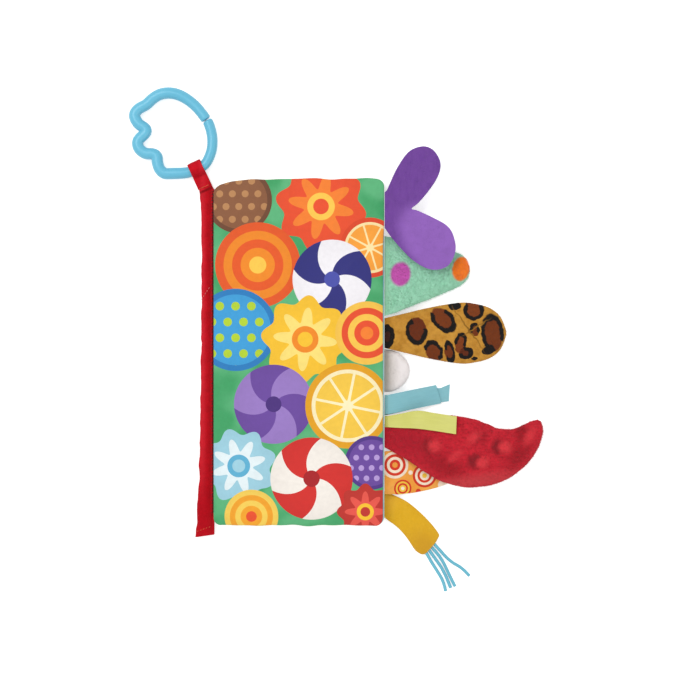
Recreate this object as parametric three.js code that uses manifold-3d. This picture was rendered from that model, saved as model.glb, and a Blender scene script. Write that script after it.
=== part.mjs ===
// Crinkle cloth book: three padded leaves bound at the spine, textured fabric tails sewn into
// the fore-edges, a hanging loop of strap and a split plastic link ring.
//
// Millimetres, +Z up. The origin is the centre of the back leaf's flat resting face. The book
// lies closed, with the spine towards -X, the fore-edge towards +X and the page tops towards +Y.
import * as THREE from 'three';
import { mergeVertices } from 'three/addons/utils/BufferGeometryUtils.js';
import Module from 'manifold-3d';

const wasm = await Module();
wasm.setup();

// Clearances
const seatGap = 0.3; // between pieces that touch
const turnGap = 0.4; // between a turned leaf and the binding tape below it
const floorGap = 0.1; // between a tail at rest and the surface below it

// Leaves
const leafWidth = 108;
const leafHeight = 220;
const leafThickness = 5;
const leafCorner = 5;
const panelCloth = 0.6;
const crownRun = 13; // from the hem to the flat of the padding
const filmThickness = 0.25;
const hemAllowance = 0.6; // thickness of the hem that is turned down to the spine

// Spine
const tapeHeight = 5.2;
const tapeCloth = 1;
const tapeWidth = 9.8; // at its foot, where it lies flattest
const tapeShortfall = 7; // its top lies below the tops of the leaves
const tapeOverhang = 6; // its foot hangs past the bottoms of the leaves
const beadRadius = 0.8; // rounded top of the seam ridge that the leaves roll over
const ridgeInset = 2; // ridge ends inside the leaves' corners

// Hanging loop
const strapWidth = 9.2;
const strapCloth = 1;
const strapReach = 14.9; // from the binding tape to the ring
const strapLean = THREE.MathUtils.degToRad(24.5);
const ringPlay = 0.5; // round the ring's tube in the loop

// Link ring
const ringTube = 3.35; // radius
const ringReach = 28.5; // from the centre to the farthest lobe
const ringLoopStraight = 5.6; // half the straight run through the loop

// Tails and ribbons
const tailHemCloth = 0.35; // each cloth where a tail enters the fore-edge seam
const tailCloth = 0.8; // each cloth away from the seams
const ribbonCloth = 0.8;
const feltCloth = 1.2;
const cordDiameter = 1.8;

// Half-height of a leaf from its hem, 0, to its flat, 1, against the share of crownRun
const crownShares = [
  [0, 0],
  [0.115, 0.31],
  [0.31, 0.69],
  [0.615, 0.91],
  [1, 1],
];
const paddedShare = 3; // row of crownShares where the film inside begins

// Share of tapeWidth that the binding tape has, from its foot to its top
const tapeShares = [
  [0, 1],
  [0.15, 0.82],
  [0.3, 0.68],
  [0.45, 0.57],
  [0.68, 0.55],
  [0.9, 0.55],
  [1, 0.65],
];

// Centreline of the link ring: angle in degrees and share of ringReach. Three lobes lie on the
// side away from the book. The run through the hanging loop is straight and isn't in the table.
const ringLeadShares = [
  [24.8, 0.828],
  [38.2, 0.814],
  [54.2, 0.832],
  [70.7, 0.877],
  [83.7, 0.926],
  [96.1, 0.961],
  [108.4, 0.972],
  [120.3, 0.947],
  [131.6, 0.923],
  [142.7, 0.986],
  [150.9, 1],
  [156.2, 0.951],
  [162.5, 0.821],
  [166, 0.67],
  [172, 0.611],
  [180.7, 0.681],
  [186.9, 0.782],
  [193.6, 0.835],
  [203.7, 0.828],
  [214.8, 0.747],
  [222.8, 0.628],
  [233, 0.609],
  [239.7, 0.712],
  [248.4, 0.835],
  [257.4, 0.898],
  [267.8, 0.877],
  [281, 0.888],
];
const ringLoopShares = [304.6, 0.933];
const ringTrailShares = [
  [330.7, 0.958],
  [345.5, 0.919],
  [0.6, 0.877],
  [15.7, 0.849],
  [22.2, 0.835],
];

// Levels that follow from the sizes above
const hemHalf = seatGap / 2 + panelCloth;
const leafPitch = leafThickness + seatGap;
const backLevel = leafThickness / 2;
const middleLevel = backLevel + leafPitch;
const frontLevel = middleLevel + leafPitch;
const stackTop = frontLevel + leafThickness / 2;
const hingeX = -(leafWidth / 2 + beadRadius + seatGap);
const hingeLevel = (stackTop + tapeHeight + turnGap) / 2;
const tapeMouth = hingeX - beadRadius - seatGap;
const tapeTop = leafHeight / 2 - tapeShortfall;
const tapeFoot = -(leafHeight / 2 + tapeOverhang);
const rootX = leafWidth / 2 + seatGap;

const colours = {
  coverGreen: 0x5fa876,
  innerBlue: 0x9ccbd0,
  wadding: 0xf1efe9,
  film: 0xd8dde0,
  tapeRed: 0xc8182a,
  ringBlue: 0x6fc0dc,
  feltPurple: 0x8557ab,
  plushMint: 0x7cc3a0,
  plushTan: 0xb5802f,
  plushWhite: 0xe4dfdd,
  plushRed: 0xb8252f,
  printOrange: 0xf0a040,
  velourYellow: 0xdca828,
  ribbonTeal: 0x77b8c4,
  ribbonLime: 0xcfd673,
  cordBlue: 0x6fb6cc,
};

function cloth(colour, roughness = 0.92) {
  return new THREE.MeshStandardMaterial({ color: colour, roughness, metalness: 0 });
}

// Closed solids from rings of points

function ringNormal(ring) {
  const normal = new THREE.Vector3();
  ring.forEach((point, index) => {
    normal.add(point.clone().cross(ring[(index + 1) % ring.length]));
  });
  return normal.normalize();
}

/** Triangles that close one ring, wound with the ring. */
function ringCap(ring) {
  const normal = ringNormal(ring);
  const along = new THREE.Vector3(0, 0, 1).cross(normal);
  if (along.lengthSq() < Number.EPSILON) {
    along.set(1, 0, 0);
  }
  along.normalize();
  const across = normal.clone().cross(along);
  const outline = ring.map((point) => new THREE.Vector2(point.dot(along), point.dot(across)));
  return THREE.ShapeUtils.triangulateShape(outline, []).map((face) => {
    const winding = THREE.ShapeUtils.area(face.map((corner) => outline[corner]));
    return winding > 0 ? face : [face[0], face[2], face[1]];
  });
}

function signedVolume(positions, faces) {
  const corner = (index) => new THREE.Vector3().fromArray(positions, index * 3);
  return faces.reduce((sum, [a, b, c]) => sum + corner(a).dot(corner(b).cross(corner(c))), 0);
}

/** Skin over a row of rings with equal numbers of points, closed at both ends. */
function loft(rings) {
  const count = rings[0].length;
  const positions = rings.flat().flatMap((point) => point.toArray());
  const faces = ringCap(rings[0]).map(([a, b, c]) => [a, c, b]);
  for (let row = 0; row < rings.length - 1; row += 1) {
    for (let step = 0; step < count; step += 1) {
      const near = row * count + step;
      const nearNext = row * count + ((step + 1) % count);
      faces.push([near, nearNext, near + count]);
      faces.push([nearNext, nearNext + count, near + count]);
    }
  }
  const lastRow = (rings.length - 1) * count;
  faces.push(...ringCap(rings.at(-1)).map((face) => face.map((corner) => corner + lastRow)));
  const outward = signedVolume(positions, faces) > 0;
  const indices = faces.flatMap(([a, b, c]) => (outward ? [a, b, c] : [a, c, b]));
  const geometry = new THREE.BufferGeometry();
  geometry.setAttribute('position', new THREE.Float32BufferAttribute(positions, 3));
  geometry.setIndex(indices);
  geometry.computeVertexNormals();
  return geometry;
}

function toManifold(geometry) {
  const bare = geometry.clone();
  bare.deleteAttribute('normal');
  bare.deleteAttribute('uv');
  const merged = mergeVertices(bare);
  return new wasm.Manifold(new wasm.Mesh({
    numProp: 3,
    vertProperties: new Float32Array(merged.attributes.position.array),
    triVerts: new Uint32Array(merged.index.array),
  }));
}

function fromManifold(solid) {
  const mesh = solid.getMesh();
  const geometry = new THREE.BufferGeometry();
  geometry.setAttribute('position', new THREE.BufferAttribute(mesh.vertProperties, 3));
  geometry.setIndex(new THREE.BufferAttribute(mesh.triVerts, 1));
  geometry.computeVertexNormals();
  return geometry;
}

/** Rows of a table, with smooth rows added between them. */
function smoothRows(rows, between) {
  const smooth = [];
  for (let index = 0; index < rows.length - 1; index += 1) {
    const before = rows[Math.max(index - 1, 0)];
    const after = rows[Math.min(index + 2, rows.length - 1)];
    for (let step = 0; step < between; step += 1) {
      const t = step / between;
      smooth.push(rows[index].map((from, column) => {
        const to = rows[index + 1][column];
        const leave = (to - before[column]) / 2;
        const arrive = (after[column] - from) / 2;
        const cubic = 2 * (from - to) + leave + arrive;
        const square = 3 * (to - from) - 2 * leave - arrive;
        return ((cubic * t + square) * t + leave) * t + from;
      }));
    }
  }
  smooth.push(rows.at(-1));
  return smooth;
}

// Leaves

const cornerSteps = 5;

/** Rounded rectangle round the leaf's centre, drawn in from its hem by inset. */
function leafRing(inset, level) {
  const ring = [];
  for (let quarter = 0; quarter < 4; quarter += 1) {
    const signX = quarter === 0 || quarter === 3 ? 1 : -1;
    const signY = quarter < 2 ? 1 : -1;
    for (let step = 0; step <= cornerSteps; step += 1) {
      const angle = (quarter + step / cornerSteps) * (Math.PI / 2);
      ring.push(new THREE.Vector3(
        signX * (leafWidth / 2 - inset - leafCorner) + leafCorner * Math.cos(angle),
        signY * (leafHeight / 2 - inset - leafCorner) + leafCorner * Math.sin(angle),
        level,
      ));
    }
  }
  return ring;
}

function leafHalf(riseShare) {
  return hemHalf + riseShare * (leafThickness / 2 - hemHalf);
}

/** Dished cloth panel above (side 1) or below (side -1) the leaf's seam. */
function leafPanel(side) {
  const outside = crownShares.map(([inset, rise]) => leafRing(inset * crownRun, side * leafHalf(rise)));
  const inside = crownShares.map(([inset, rise]) => (
    leafRing(inset * crownRun, side * (leafHalf(rise) - panelCloth))
  ));
  return loft([...outside.reverse(), ...inside]);
}

/** Leaf panel whose spine hem is turned towards the ridge that it rolls over. */
function hingedPanel(side, leafLevel) {
  const hemMiddle = side * (seatGap / 2 + panelCloth / 2);
  const reach = hingeLevel - leafLevel - side * seatGap;
  const allowance = new THREE.BoxGeometry(
    hemAllowance,
    leafHeight - leafCorner * 2 - ridgeInset * 2,
    Math.abs(reach - hemMiddle),
  );
  allowance.translate((hemAllowance - leafWidth) / 2, 0, (reach + hemMiddle) / 2);
  return fromManifold(toManifold(leafPanel(side)).add(toManifold(allowance)));
}

const cavityHalf = leafHalf(crownShares[paddedShare][1]) - panelCloth;
const padInset = crownShares[paddedShare][0] * crownRun;

/** Flat layer inside a leaf, between two levels. */
function leafLayer(low, high) {
  return loft([leafRing(padInset, low), leafRing(padInset, high)]);
}

const leafPieces = {
  film: () => leafLayer(cavityHalf - seatGap - filmThickness, cavityHalf - seatGap),
  wadding: () => leafLayer(seatGap - cavityHalf, cavityHalf - seatGap * 2 - filmThickness),
};

function addLeaf(book, prefix, level, panels) {
  const leaf = new THREE.Group();
  leaf.position.z = level;
  panels.forEach(([name, geometry, colour]) => {
    addPiece(leaf, `${prefix}_${name}`, geometry, cloth(colour));
  });
  addPiece(leaf, `${prefix}_wadding`, leafPieces.wadding(), cloth(colours.wadding));
  addPiece(leaf, `${prefix}_crinkle_film`, leafPieces.film(), cloth(colours.film, 0.35));
  book.add(leaf);
}

function addPiece(group, name, geometry, material) {
  const mesh = new THREE.Mesh(geometry, material);
  mesh.name = name;
  group.add(mesh);
  return mesh;
}

// Spine

/** Rings along the spine, with a section that follows the width of the tape there. */
function alongSpine(shorten, section) {
  return smoothRows(tapeShares, 2).map(([share, widthShare]) => {
    const y = THREE.MathUtils.lerp(tapeFoot + shorten, tapeTop - shorten, share);
    return section(tapeMouth - tapeWidth * widthShare).map(([x, z]) => new THREE.Vector3(x, y, z));
  });
}

/** Folded cloth, open towards the book. */
function bindingTape() {
  const fold = tapeHeight / 4;
  return loft(alongSpine(0, (left) => [
    [tapeMouth, 0],
    [left + fold, 0],
    [left, fold],
    [left, tapeHeight - fold],
    [left + fold, tapeHeight],
    [tapeMouth, tapeHeight],
    [tapeMouth, tapeHeight - tapeCloth],
    [left + fold, tapeHeight - tapeCloth],
    [left + tapeCloth, tapeHeight - fold],
    [left + tapeCloth, fold],
    [left + fold, tapeCloth],
    [tapeMouth, tapeCloth],
  ]));
}

/** Stitched seam allowances of the leaves, inside the tape. */
function seamCore() {
  const low = tapeCloth + seatGap;
  const high = tapeHeight - low;
  return loft(alongSpine(ridgeInset, (left) => [
    [tapeMouth, low],
    [left + low, low],
    [left + low, high],
    [tapeMouth, high],
  ]));
}

/** Upright fold of seam allowances with a rounded top on the leaves' turning line. */
function seamRidge() {
  const section = new THREE.Shape();
  section.moveTo(-beadRadius, 0);
  section.lineTo(beadRadius, 0);
  section.lineTo(beadRadius, hingeLevel);
  section.absarc(0, hingeLevel, beadRadius, 0, Math.PI, false);
  section.closePath();
  const length = leafHeight - leafCorner * 2 - ridgeInset * 2;
  const geometry = new THREE.ExtrudeGeometry(section, { depth: length, bevelEnabled: false, curveSegments: 8 });
  geometry.rotateX(Math.PI / 2);
  geometry.translate(hingeX, length / 2, 0);
  return geometry;
}

// Hanging loop and link ring

const strapAlong = new THREE.Vector3(-Math.sin(strapLean), Math.cos(strapLean), 0);
const strapAcross = new THREE.Vector3(Math.cos(strapLean), Math.sin(strapLean), 0);
const loopRadius = ringTube + ringPlay + strapCloth;
const strapFoot = new THREE.Vector3(
  -(rootX + strapWidth / 2 / Math.cos(strapLean)),
  tapeTop + seatGap,
  0,
);
const loopCentre = strapFoot.clone().addScaledVector(strapAlong, strapReach).setZ(loopRadius);

/** Strap folded round the ring's tube, its two tails sewn flat and cut square to the tape. */
function hangingLoop() {
  const tailHalf = strapCloth + seatGap / 2;
  const tailLow = tapeHeight / 2 - tailHalf - loopRadius;
  const tailHigh = tapeHeight / 2 + tailHalf - loopRadius;
  const tailEnd = -(strapReach + strapWidth);
  const side = new THREE.Shape();
  side.moveTo(tailEnd, tailLow);
  side.lineTo(-Math.sqrt(loopRadius ** 2 - tailLow ** 2), tailLow);
  side.absarc(
    0,
    0,
    loopRadius,
    Math.PI + Math.asin(-tailLow / loopRadius),
    Math.PI * 3 - Math.asin(tailHigh / loopRadius),
    false,
  );
  side.lineTo(tailEnd, tailHigh);
  side.closePath();
  const bore = new THREE.Path();
  bore.absarc(0, 0, ringTube + ringPlay, 0, Math.PI * 2, true);
  side.holes.push(bore);
  const geometry = new THREE.ExtrudeGeometry(side, { depth: strapWidth, bevelEnabled: false, curveSegments: 14 });
  geometry.translate(0, 0, -strapWidth / 2);
  geometry.applyMatrix4(new THREE.Matrix4().makeBasis(strapAlong, new THREE.Vector3(0, 0, 1), strapAcross));
  geometry.translate(loopCentre.x, loopCentre.y, loopCentre.z);
  const cutSize = strapReach + strapWidth * 3;
  const cut = new THREE.BoxGeometry(cutSize, cutSize, cutSize);
  cut.translate(strapFoot.x, strapFoot.y - cutSize / 2, 0);
  return fromManifold(toManifold(geometry).subtract(toManifold(cut)));
}

/** Split ring with three lobes, lying in the loop and down on its far side. */
function linkRing() {
  const polar = ([angle, share]) => new THREE.Vector3(
    Math.cos(THREE.MathUtils.degToRad(angle)),
    Math.sin(THREE.MathUtils.degToRad(angle)),
    0,
  ).multiplyScalar(share * ringReach);
  const centre = loopCentre.clone().sub(polar(ringLoopShares));
  const route = [
    ...ringLeadShares.map((row) => polar(row).add(centre)),
    loopCentre.clone().addScaledVector(strapAcross, -ringLoopStraight),
    loopCentre.clone(),
    loopCentre.clone().addScaledVector(strapAcross, ringLoopStraight),
    ...ringTrailShares.map((row) => polar(row).add(centre)),
  ];
  const fromLoop = (point) => point.clone().sub(loopCentre).dot(strapAlong);
  const farthest = Math.max(...route.map(fromLoop));
  route.forEach((point) => {
    const share = THREE.MathUtils.clamp(fromLoop(point) / farthest, 0, 1);
    point.z = THREE.MathUtils.lerp(loopRadius, ringTube, share);
  });
  const curve = new THREE.CatmullRomCurve3(route, false, 'centripetal');
  const section = new THREE.Shape().absarc(0, 0, ringTube, 0, Math.PI * 2, false);
  return new THREE.ExtrudeGeometry(section, {
    extrudePath: curve,
    steps: 84,
    curveSegments: 5,
    bevelEnabled: false,
  });
}

// Tails

const mouthShare = 0.6; // along a tail, where an oblique mouth starts to turn its sections

function halfThickness(puff) {
  return seatGap / 2 + tailHemCloth + puff;
}

/** Places along a tail: centre, sideways direction, half-width and puff. */
function tailStations(tail) {
  const rows = smoothRows(tail.shares, 2);
  const restLevel = halfThickness(tail.puff) + floorGap;
  const centres = rows.map(([along, bend, , , level]) => new THREE.Vector3(
    along * tail.length,
    bend * tail.length,
    level * (restLevel - tail.rootLevel),
  ));
  let travelled = 0;
  return rows.map(([, , widthShare, puffShare], index) => {
    const before = centres[Math.max(index - 1, 0)];
    const after = centres[Math.min(index + 1, centres.length - 1)];
    travelled += centres[index].distanceTo(before);
    const heading = Math.atan2(after.y - before.y, after.x - before.x);
    const mouth = THREE.MathUtils.smoothstep(index / (rows.length - 1), mouthShare, 1);
    const turned = heading * Math.min(1, travelled / tail.halfWidth) + mouth * (tail.mouthTurn ?? 0);
    return {
      centre: centres[index],
      across: new THREE.Vector3(-Math.sin(turned), Math.cos(turned), 0),
      half: widthShare * tail.halfWidth,
      puff: puffShare * tail.puff,
    };
  });
}

const acrossSteps = 8;

/** Points across a station at the heights that rise gives for the share of the half-width. */
function acrossStation(station, widthShare, rise) {
  const points = [];
  for (let step = 0; step <= acrossSteps; step += 1) {
    const share = -Math.cos((step / acrossSteps) * Math.PI) * widthShare;
    const point = station.centre.clone().addScaledVector(station.across, share * station.half);
    point.z += rise((1 - share ** 2) ** 0.6);
    points.push(point);
  }
  return points;
}

function cavityRise(puff) {
  return Math.max(puff + tailHemCloth - tailCloth, 0);
}

/** Cloth above (side 1) or below (side -1) the seam of a tail. */
function tailPanel(tail, side) {
  return loft(tailStations(tail).map((station) => {
    const outside = (crown) => side * (seatGap / 2 + tailHemCloth + station.puff * crown);
    const inside = (crown) => side * (seatGap / 2 + cavityRise(station.puff) * crown);
    return [...acrossStation(station, 1, outside), ...acrossStation(station, 1, inside).reverse()];
  }));
}

const fillWidthShare = 0.82;

/** Stuffing that fills a tail between its cloths where it is thick enough to hold any. */
function tailStuffing(tail) {
  const least = seatGap * 4;
  const filled = tailStations(tail).filter((station) => cavityRise(station.puff) > least);
  return loft(filled.map((station) => {
    const top = (crown) => cavityRise(station.puff) * crown - seatGap / 2;
    const bottom = (crown) => -top(crown);
    return [
      ...acrossStation(station, fillWidthShare, top),
      ...acrossStation(station, fillWidthShare, bottom).reverse(),
    ];
  }));
}

// Columns of a tail's shares: along and sideways as shares of the length, half-width, puff,
// and the way from the seam's level to the level of rest
const mintTail = {
  name: 'mint_plush_tail',
  colour: colours.plushMint,
  rootLevel: middleLevel,
  rootY: 48.3,
  length: 54.3,
  halfWidth: 25.4,
  puff: 3,
  shares: [
    [0, 0, 1, 0, 0],
    [0.12, 0.01, 0.93, 0.5, 0.25],
    [0.41, 0.04, 0.74, 1, 0.85],
    [0.77, 0.073, 0.5, 0.95, 1],
    [0.91, 0.087, 0.37, 0.8, 1],
    [0.975, 0.093, 0.22, 0.5, 1],
    [1, 0.096, 0.04, 0.06, 1],
  ],
};

const leopardTail = {
  name: 'leopard_plush_tail',
  colour: colours.plushTan,
  rootLevel: middleLevel,
  rootY: 12,
  length: 77,
  halfWidth: 19.4,
  puff: 3,
  shares: [
    [0, 0, 0.49, 0, 0],
    [0.13, 0, 0.61, 0.5, 0.3],
    [0.375, 0, 0.84, 0.85, 0.85],
    [0.62, 0, 1, 1, 1],
    [0.745, 0, 0.97, 0.98, 1],
    [0.87, 0, 0.83, 0.87, 1],
    [0.95, 0, 0.6, 0.65, 1],
    [0.99, 0, 0.31, 0.35, 1],
    [1.01, 0, 0.05, 0.06, 1],
  ],
};

const whiteTail = {
  name: 'white_plush_tail',
  colour: colours.plushWhite,
  rootLevel: backLevel,
  rootY: -12,
  length: 16,
  halfWidth: 13.7,
  puff: 4.3,
  shares: [
    [0, 0, 1, 0, 0],
    [0.3, 0, 0.95, 0.6, 0.5],
    [0.6, 0, 0.8, 1, 1],
    [0.85, 0, 0.53, 0.8, 1],
    [0.96, 0, 0.28, 0.5, 1],
    [1, 0, 0.06, 0.08, 1],
  ],
};

const redTail = {
  name: 'red_plush_tail',
  colour: colours.plushRed,
  rootLevel: middleLevel,
  rootY: -53.2,
  length: 99.4,
  halfWidth: 21.6,
  puff: 4,
  shares: [
    [0, 0, 0.35, 0, 0],
    [0.195, -0.04, 0.62, 0.5, -0.06],
    [0.386, -0.085, 0.94, 0.9, -0.06],
    [0.578, -0.117, 1, 1, -0.03],
    [0.737, -0.104, 0.85, 0.95, 0.5],
    [0.865, -0.052, 0.62, 0.8, 0.95],
    [0.955, 0.018, 0.38, 0.55, 1.05],
    [1, 0.075, 0.07, 0.12, 1.1],
  ],
};

const orangeTail = {
  name: 'orange_print_tail',
  colour: colours.printOrange,
  rootLevel: middleLevel,
  rootY: -76.8,
  length: 47.6,
  halfWidth: 14.3,
  puff: 0.7,
  shares: [
    [0, 0, 0.95, 0, 0],
    [0.2, 0, 0.98, 1, 0.42],
    [0.45, 0, 0.89, 1, 0.84],
    [0.7, 0, 0.71, 1, 1],
    [0.87, 0, 0.49, 0.9, 1],
    [0.96, 0, 0.28, 0.6, 1],
    [1, 0, 0.05, 0.1, 1],
  ],
};

const yellowTail = {
  name: 'yellow_velour_tail',
  colour: colours.velourYellow,
  rootLevel: backLevel,
  rootY: -97.5,
  length: 35,
  halfWidth: 9.5,
  puff: 1.6,
  mouthTurn: THREE.MathUtils.degToRad(16),
  shares: [
    [0, 0, 0.87, 0, 0],
    [0.28, -0.146, 0.88, 0.6, 0.7],
    [0.5, -0.334, 0.9, 0.9, 1],
    [0.66, -0.517, 0.95, 1, 1],
    [0.79, -0.7, 0.98, 1, 1],
    [0.826, -0.751, 0.84, 1, 1],
  ],
};

/** Group whose origin is where a tail's centreline leaves the fore-edge. */
function foreEdgeGroup(rootY, rootLevel, outFromSeam = 0) {
  const group = new THREE.Group();
  group.position.set(rootX + outFromSeam, rootY, rootLevel);
  return group;
}

function addTail(book, tail, stuffed) {
  const group = foreEdgeGroup(tail.rootY, tail.rootLevel);
  addPiece(group, `${tail.name}_top`, tailPanel(tail, 1), cloth(tail.colour));
  addPiece(group, `${tail.name}_bottom`, tailPanel(tail, -1), cloth(tail.colour));
  if (stuffed) {
    addPiece(group, `${tail.name}_stuffing`, tailStuffing(tail), cloth(colours.wadding));
  }
  book.add(group);
}

// Felt tail: two round lobes from a waist at the fore-edge, cut from one sheet
const feltReach = 49.1;
const feltRootY = 91.4;
const feltRise = 2; // how far the lobes lift above the seam
const feltHubShare = 0.1487; // from the fore-edge to the point that the outline turns about

// Outline of the felt: angle in degrees and share of feltReach
const feltShares = [
  [126.7, 0.248],
  [116.6, 0.261],
  [103.5, 0.332],
  [90, 0.491],
  [80.2, 0.682],
  [73.8, 0.788],
  [65.3, 0.868],
  [57, 0.88],
  [48.1, 0.833],
  [41.6, 0.76],
  [35, 0.631],
  [25.8, 0.446],
  [-3.6, 0.208],
  [-12.1, 0.371],
  [-18, 0.625],
  [-22.2, 0.754],
  [-28.9, 0.857],
  [-35.4, 0.937],
  [-42.9, 0.988],
  [-49.7, 1],
  [-57.2, 0.955],
  [-64.2, 0.862],
  [-72.9, 0.703],
  [-84.3, 0.519],
  [-102, 0.371],
  [-119.9, 0.298],
];
const feltRingShares = [0.3, 0.65, 1];

function feltTail() {
  const ring = (ringShare, side) => feltShares.map(([angle, share]) => {
    const turn = THREE.MathUtils.degToRad(angle);
    const radius = share * ringShare * feltReach;
    const x = feltHubShare * feltReach + radius * Math.cos(turn);
    const lift = feltRise * THREE.MathUtils.smoothstep(x, 0, feltReach);
    return new THREE.Vector3(x, radius * Math.sin(turn), lift + side * (feltCloth / 2));
  });
  const above = feltRingShares.map((share) => ring(share, 1));
  const below = feltRingShares.map((share) => ring(share, -1));
  return loft([...above, ...below.reverse()]);
}

// Ribbons

/** Flat ribbon from rows of along, sideways, half-width share and level above the seam. */
function ribbon(spec) {
  const halfCloth = ribbonCloth / 2;
  const centres = spec.rows.map(([along, bend, , level]) => new THREE.Vector3(
    along * spec.length,
    bend * spec.length,
    level,
  ));
  return loft(centres.map((centre, index) => {
    const before = centres[Math.max(index - 1, 0)];
    const after = centres[Math.min(index + 1, centres.length - 1)];
    const heading = Math.atan2(after.y - before.y, after.x - before.x);
    const turned = heading * Math.min(1, centre.length() / spec.halfWidth);
    const half = spec.halfWidth * spec.rows[index][2];
    const across = new THREE.Vector3(-Math.sin(turned) * half, Math.cos(turned) * half, 0);
    return [[-1, -1], [1, -1], [1, 1], [-1, 1]].map(([side, face]) => (
      centre.clone().addScaledVector(across, side).add(new THREE.Vector3(0, 0, face * halfCloth))
    ));
  }));
}

const ribbonPitch = ribbonCloth + seatGap;
const stackedSetback = 2.2; // of a ribbon that lies on another piece, so that it lifts clear of it
const tealRun = 30; // over which the teal ribbons come down to the surface
const tealSteps = 7;

const tealLower = { rootY: -34.8, length: 41.3, halfWidth: 5.6, bendShare: 0.22, layer: 0 };
const tealUpper = { rootY: -33.4, length: 32.7, halfWidth: 6.1, bendShare: 0.195, layer: 1 };

/** Straight ribbon that falls from the seam to the surface, in its layer of the pair. */
function addTealRibbon(book, name, strip) {
  const rootLevel = middleLevel + (strip.layer - 0.5) * ribbonPitch;
  const restLevel = floorGap + ribbonCloth / 2 + strip.layer * ribbonPitch;
  const rows = [];
  for (let step = 0; step <= tealSteps; step += 1) {
    const along = step / tealSteps;
    const fallen = THREE.MathUtils.smoothstep(along * strip.length, 0, tealRun);
    rows.push([along, along * strip.bendShare, 1, fallen * (restLevel - rootLevel)]);
  }
  const group = foreEdgeGroup(strip.rootY, rootLevel, strip.layer * stackedSetback);
  addPiece(group, name, ribbon({ ...strip, rows }), cloth(colours.ribbonTeal, 0.6));
  book.add(group);
}

// The lime ribbon starts on top of the red tail's root and rises over its crown
const limeRibbon = {
  rootY: -44.2,
  length: 43.2,
  halfWidth: 5.6,
  shares: [
    [0, 0, 0.64, 0],
    [0.2, 0.012, 0.82, 0.25],
    [0.43, 0.03, 1.02, 0.6],
    [0.65, 0.002, 1, 0.87],
    [0.83, -0.025, 1, 0.98],
    [1, -0.051, 1, 1],
  ],
};

function addLimeRibbon(book) {
  const rootRise = halfThickness(0) + seatGap * 2 + ribbonCloth / 2;
  const rise = redTail.puff - seatGap;
  const rows = smoothRows(limeRibbon.shares, 2).map(([along, bend, width, climb]) => (
    [along, bend, width, climb * rise]
  ));
  const group = foreEdgeGroup(limeRibbon.rootY, redTail.rootLevel + rootRise, stackedSetback);
  addPiece(group, 'lime_ribbon', ribbon({ ...limeRibbon, rows }), cloth(colours.ribbonLime, 0.6));
  book.add(group);
}

// Tassel cords that come out of the yellow tail's mouth and lie on the surface. Each route
// starts inside the mouth.
const tasselRoutes = [
  [
    [78.6, -123.6, 2.2],
    [81.2, -128.1, 2.0],
    [84.1, -133.2, 1.4],
    [87.4, -138.4, 1.05],
    [90.3, -143.3, 0.95],
    [91.9, -147.5, 0.95],
    [92.8, -151.1, 0.95],
  ],
  [
    [80.3, -122.4, 2.2],
    [83.2, -126.4, 2.0],
    [86.7, -131.3, 1.4],
    [90.0, -136.1, 1.05],
    [92.6, -141.0, 0.95],
    [94.5, -145.5, 0.95],
    [96.0, -149.1, 0.95],
  ],
  [
    [82.4, -121.5, 2.2],
    [85.0, -124.5, 2.1],
    [88.1, -128.1, 1.6],
    [90.9, -132.3, 1.2],
    [93.2, -136.8, 0.95],
    [95.8, -142.3, 0.95],
    [98.7, -148.1, 0.95],
  ],
  [
    [84.4, -120.0, 2.2],
    [86.4, -122.2, 2.15],
    [89.7, -125.8, 1.7],
    [93.2, -129.7, 1.3],
    [97.4, -133.2, 1.0],
    [101.3, -135.5, 0.95],
    [104.6, -138.1, 0.95],
    [107.8, -141.5, 0.95],
  ],
];

function tasselCord(route) {
  const curve = new THREE.CatmullRomCurve3(route.map((point) => new THREE.Vector3(...point)));
  const section = new THREE.Shape().absarc(0, 0, cordDiameter / 2, 0, Math.PI * 2, false);
  return new THREE.ExtrudeGeometry(section, {
    extrudePath: curve,
    steps: 12,
    curveSegments: 4,
    bevelEnabled: false,
  });
}

// The book

function buildBook() {
  const book = new THREE.Group();
  addLeaf(book, 'back_leaf', backLevel, [
    ['outer_panel', leafPanel(-1), colours.coverGreen],
    ['inner_panel', leafPanel(1), colours.innerBlue],
  ]);
  addLeaf(book, 'middle_leaf', middleLevel, [
    ['back_panel', leafPanel(-1), colours.innerBlue],
    ['front_panel', hingedPanel(1, middleLevel), colours.innerBlue],
  ]);
  addLeaf(book, 'front_leaf', frontLevel, [
    ['inner_panel', hingedPanel(-1, frontLevel), colours.innerBlue],
    ['cover_panel', leafPanel(1), colours.coverGreen],
  ]);

  addPiece(book, 'spine_binding_tape', bindingTape(), cloth(colours.tapeRed));
  addPiece(book, 'spine_seam_core', seamCore(), cloth(colours.wadding));
  addPiece(book, 'spine_seam_ridge', seamRidge(), cloth(colours.tapeRed));
  addPiece(book, 'hanging_loop', hangingLoop(), cloth(colours.tapeRed));
  addPiece(book, 'link_ring', linkRing(), new THREE.MeshStandardMaterial({
    color: colours.ringBlue,
    roughness: 0.35,
    metalness: 0,
  }));

  const felt = foreEdgeGroup(feltRootY, frontLevel);
  addPiece(felt, 'purple_felt_tail', feltTail(), cloth(colours.feltPurple));
  book.add(felt);
  [mintTail, leopardTail, whiteTail, redTail].forEach((tail) => addTail(book, tail, true));
  [orangeTail, yellowTail].forEach((tail) => addTail(book, tail, false));

  addTealRibbon(book, 'teal_ribbon_lower', tealLower);
  addTealRibbon(book, 'teal_ribbon_upper', tealUpper);
  addLimeRibbon(book);
  tasselRoutes.forEach((route, index) => {
    addPiece(book, `tassel_cord_${index + 1}`, tasselCord(route), cloth(colours.cordBlue, 0.7));
  });
  return book;
}

export default buildBook();
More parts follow.
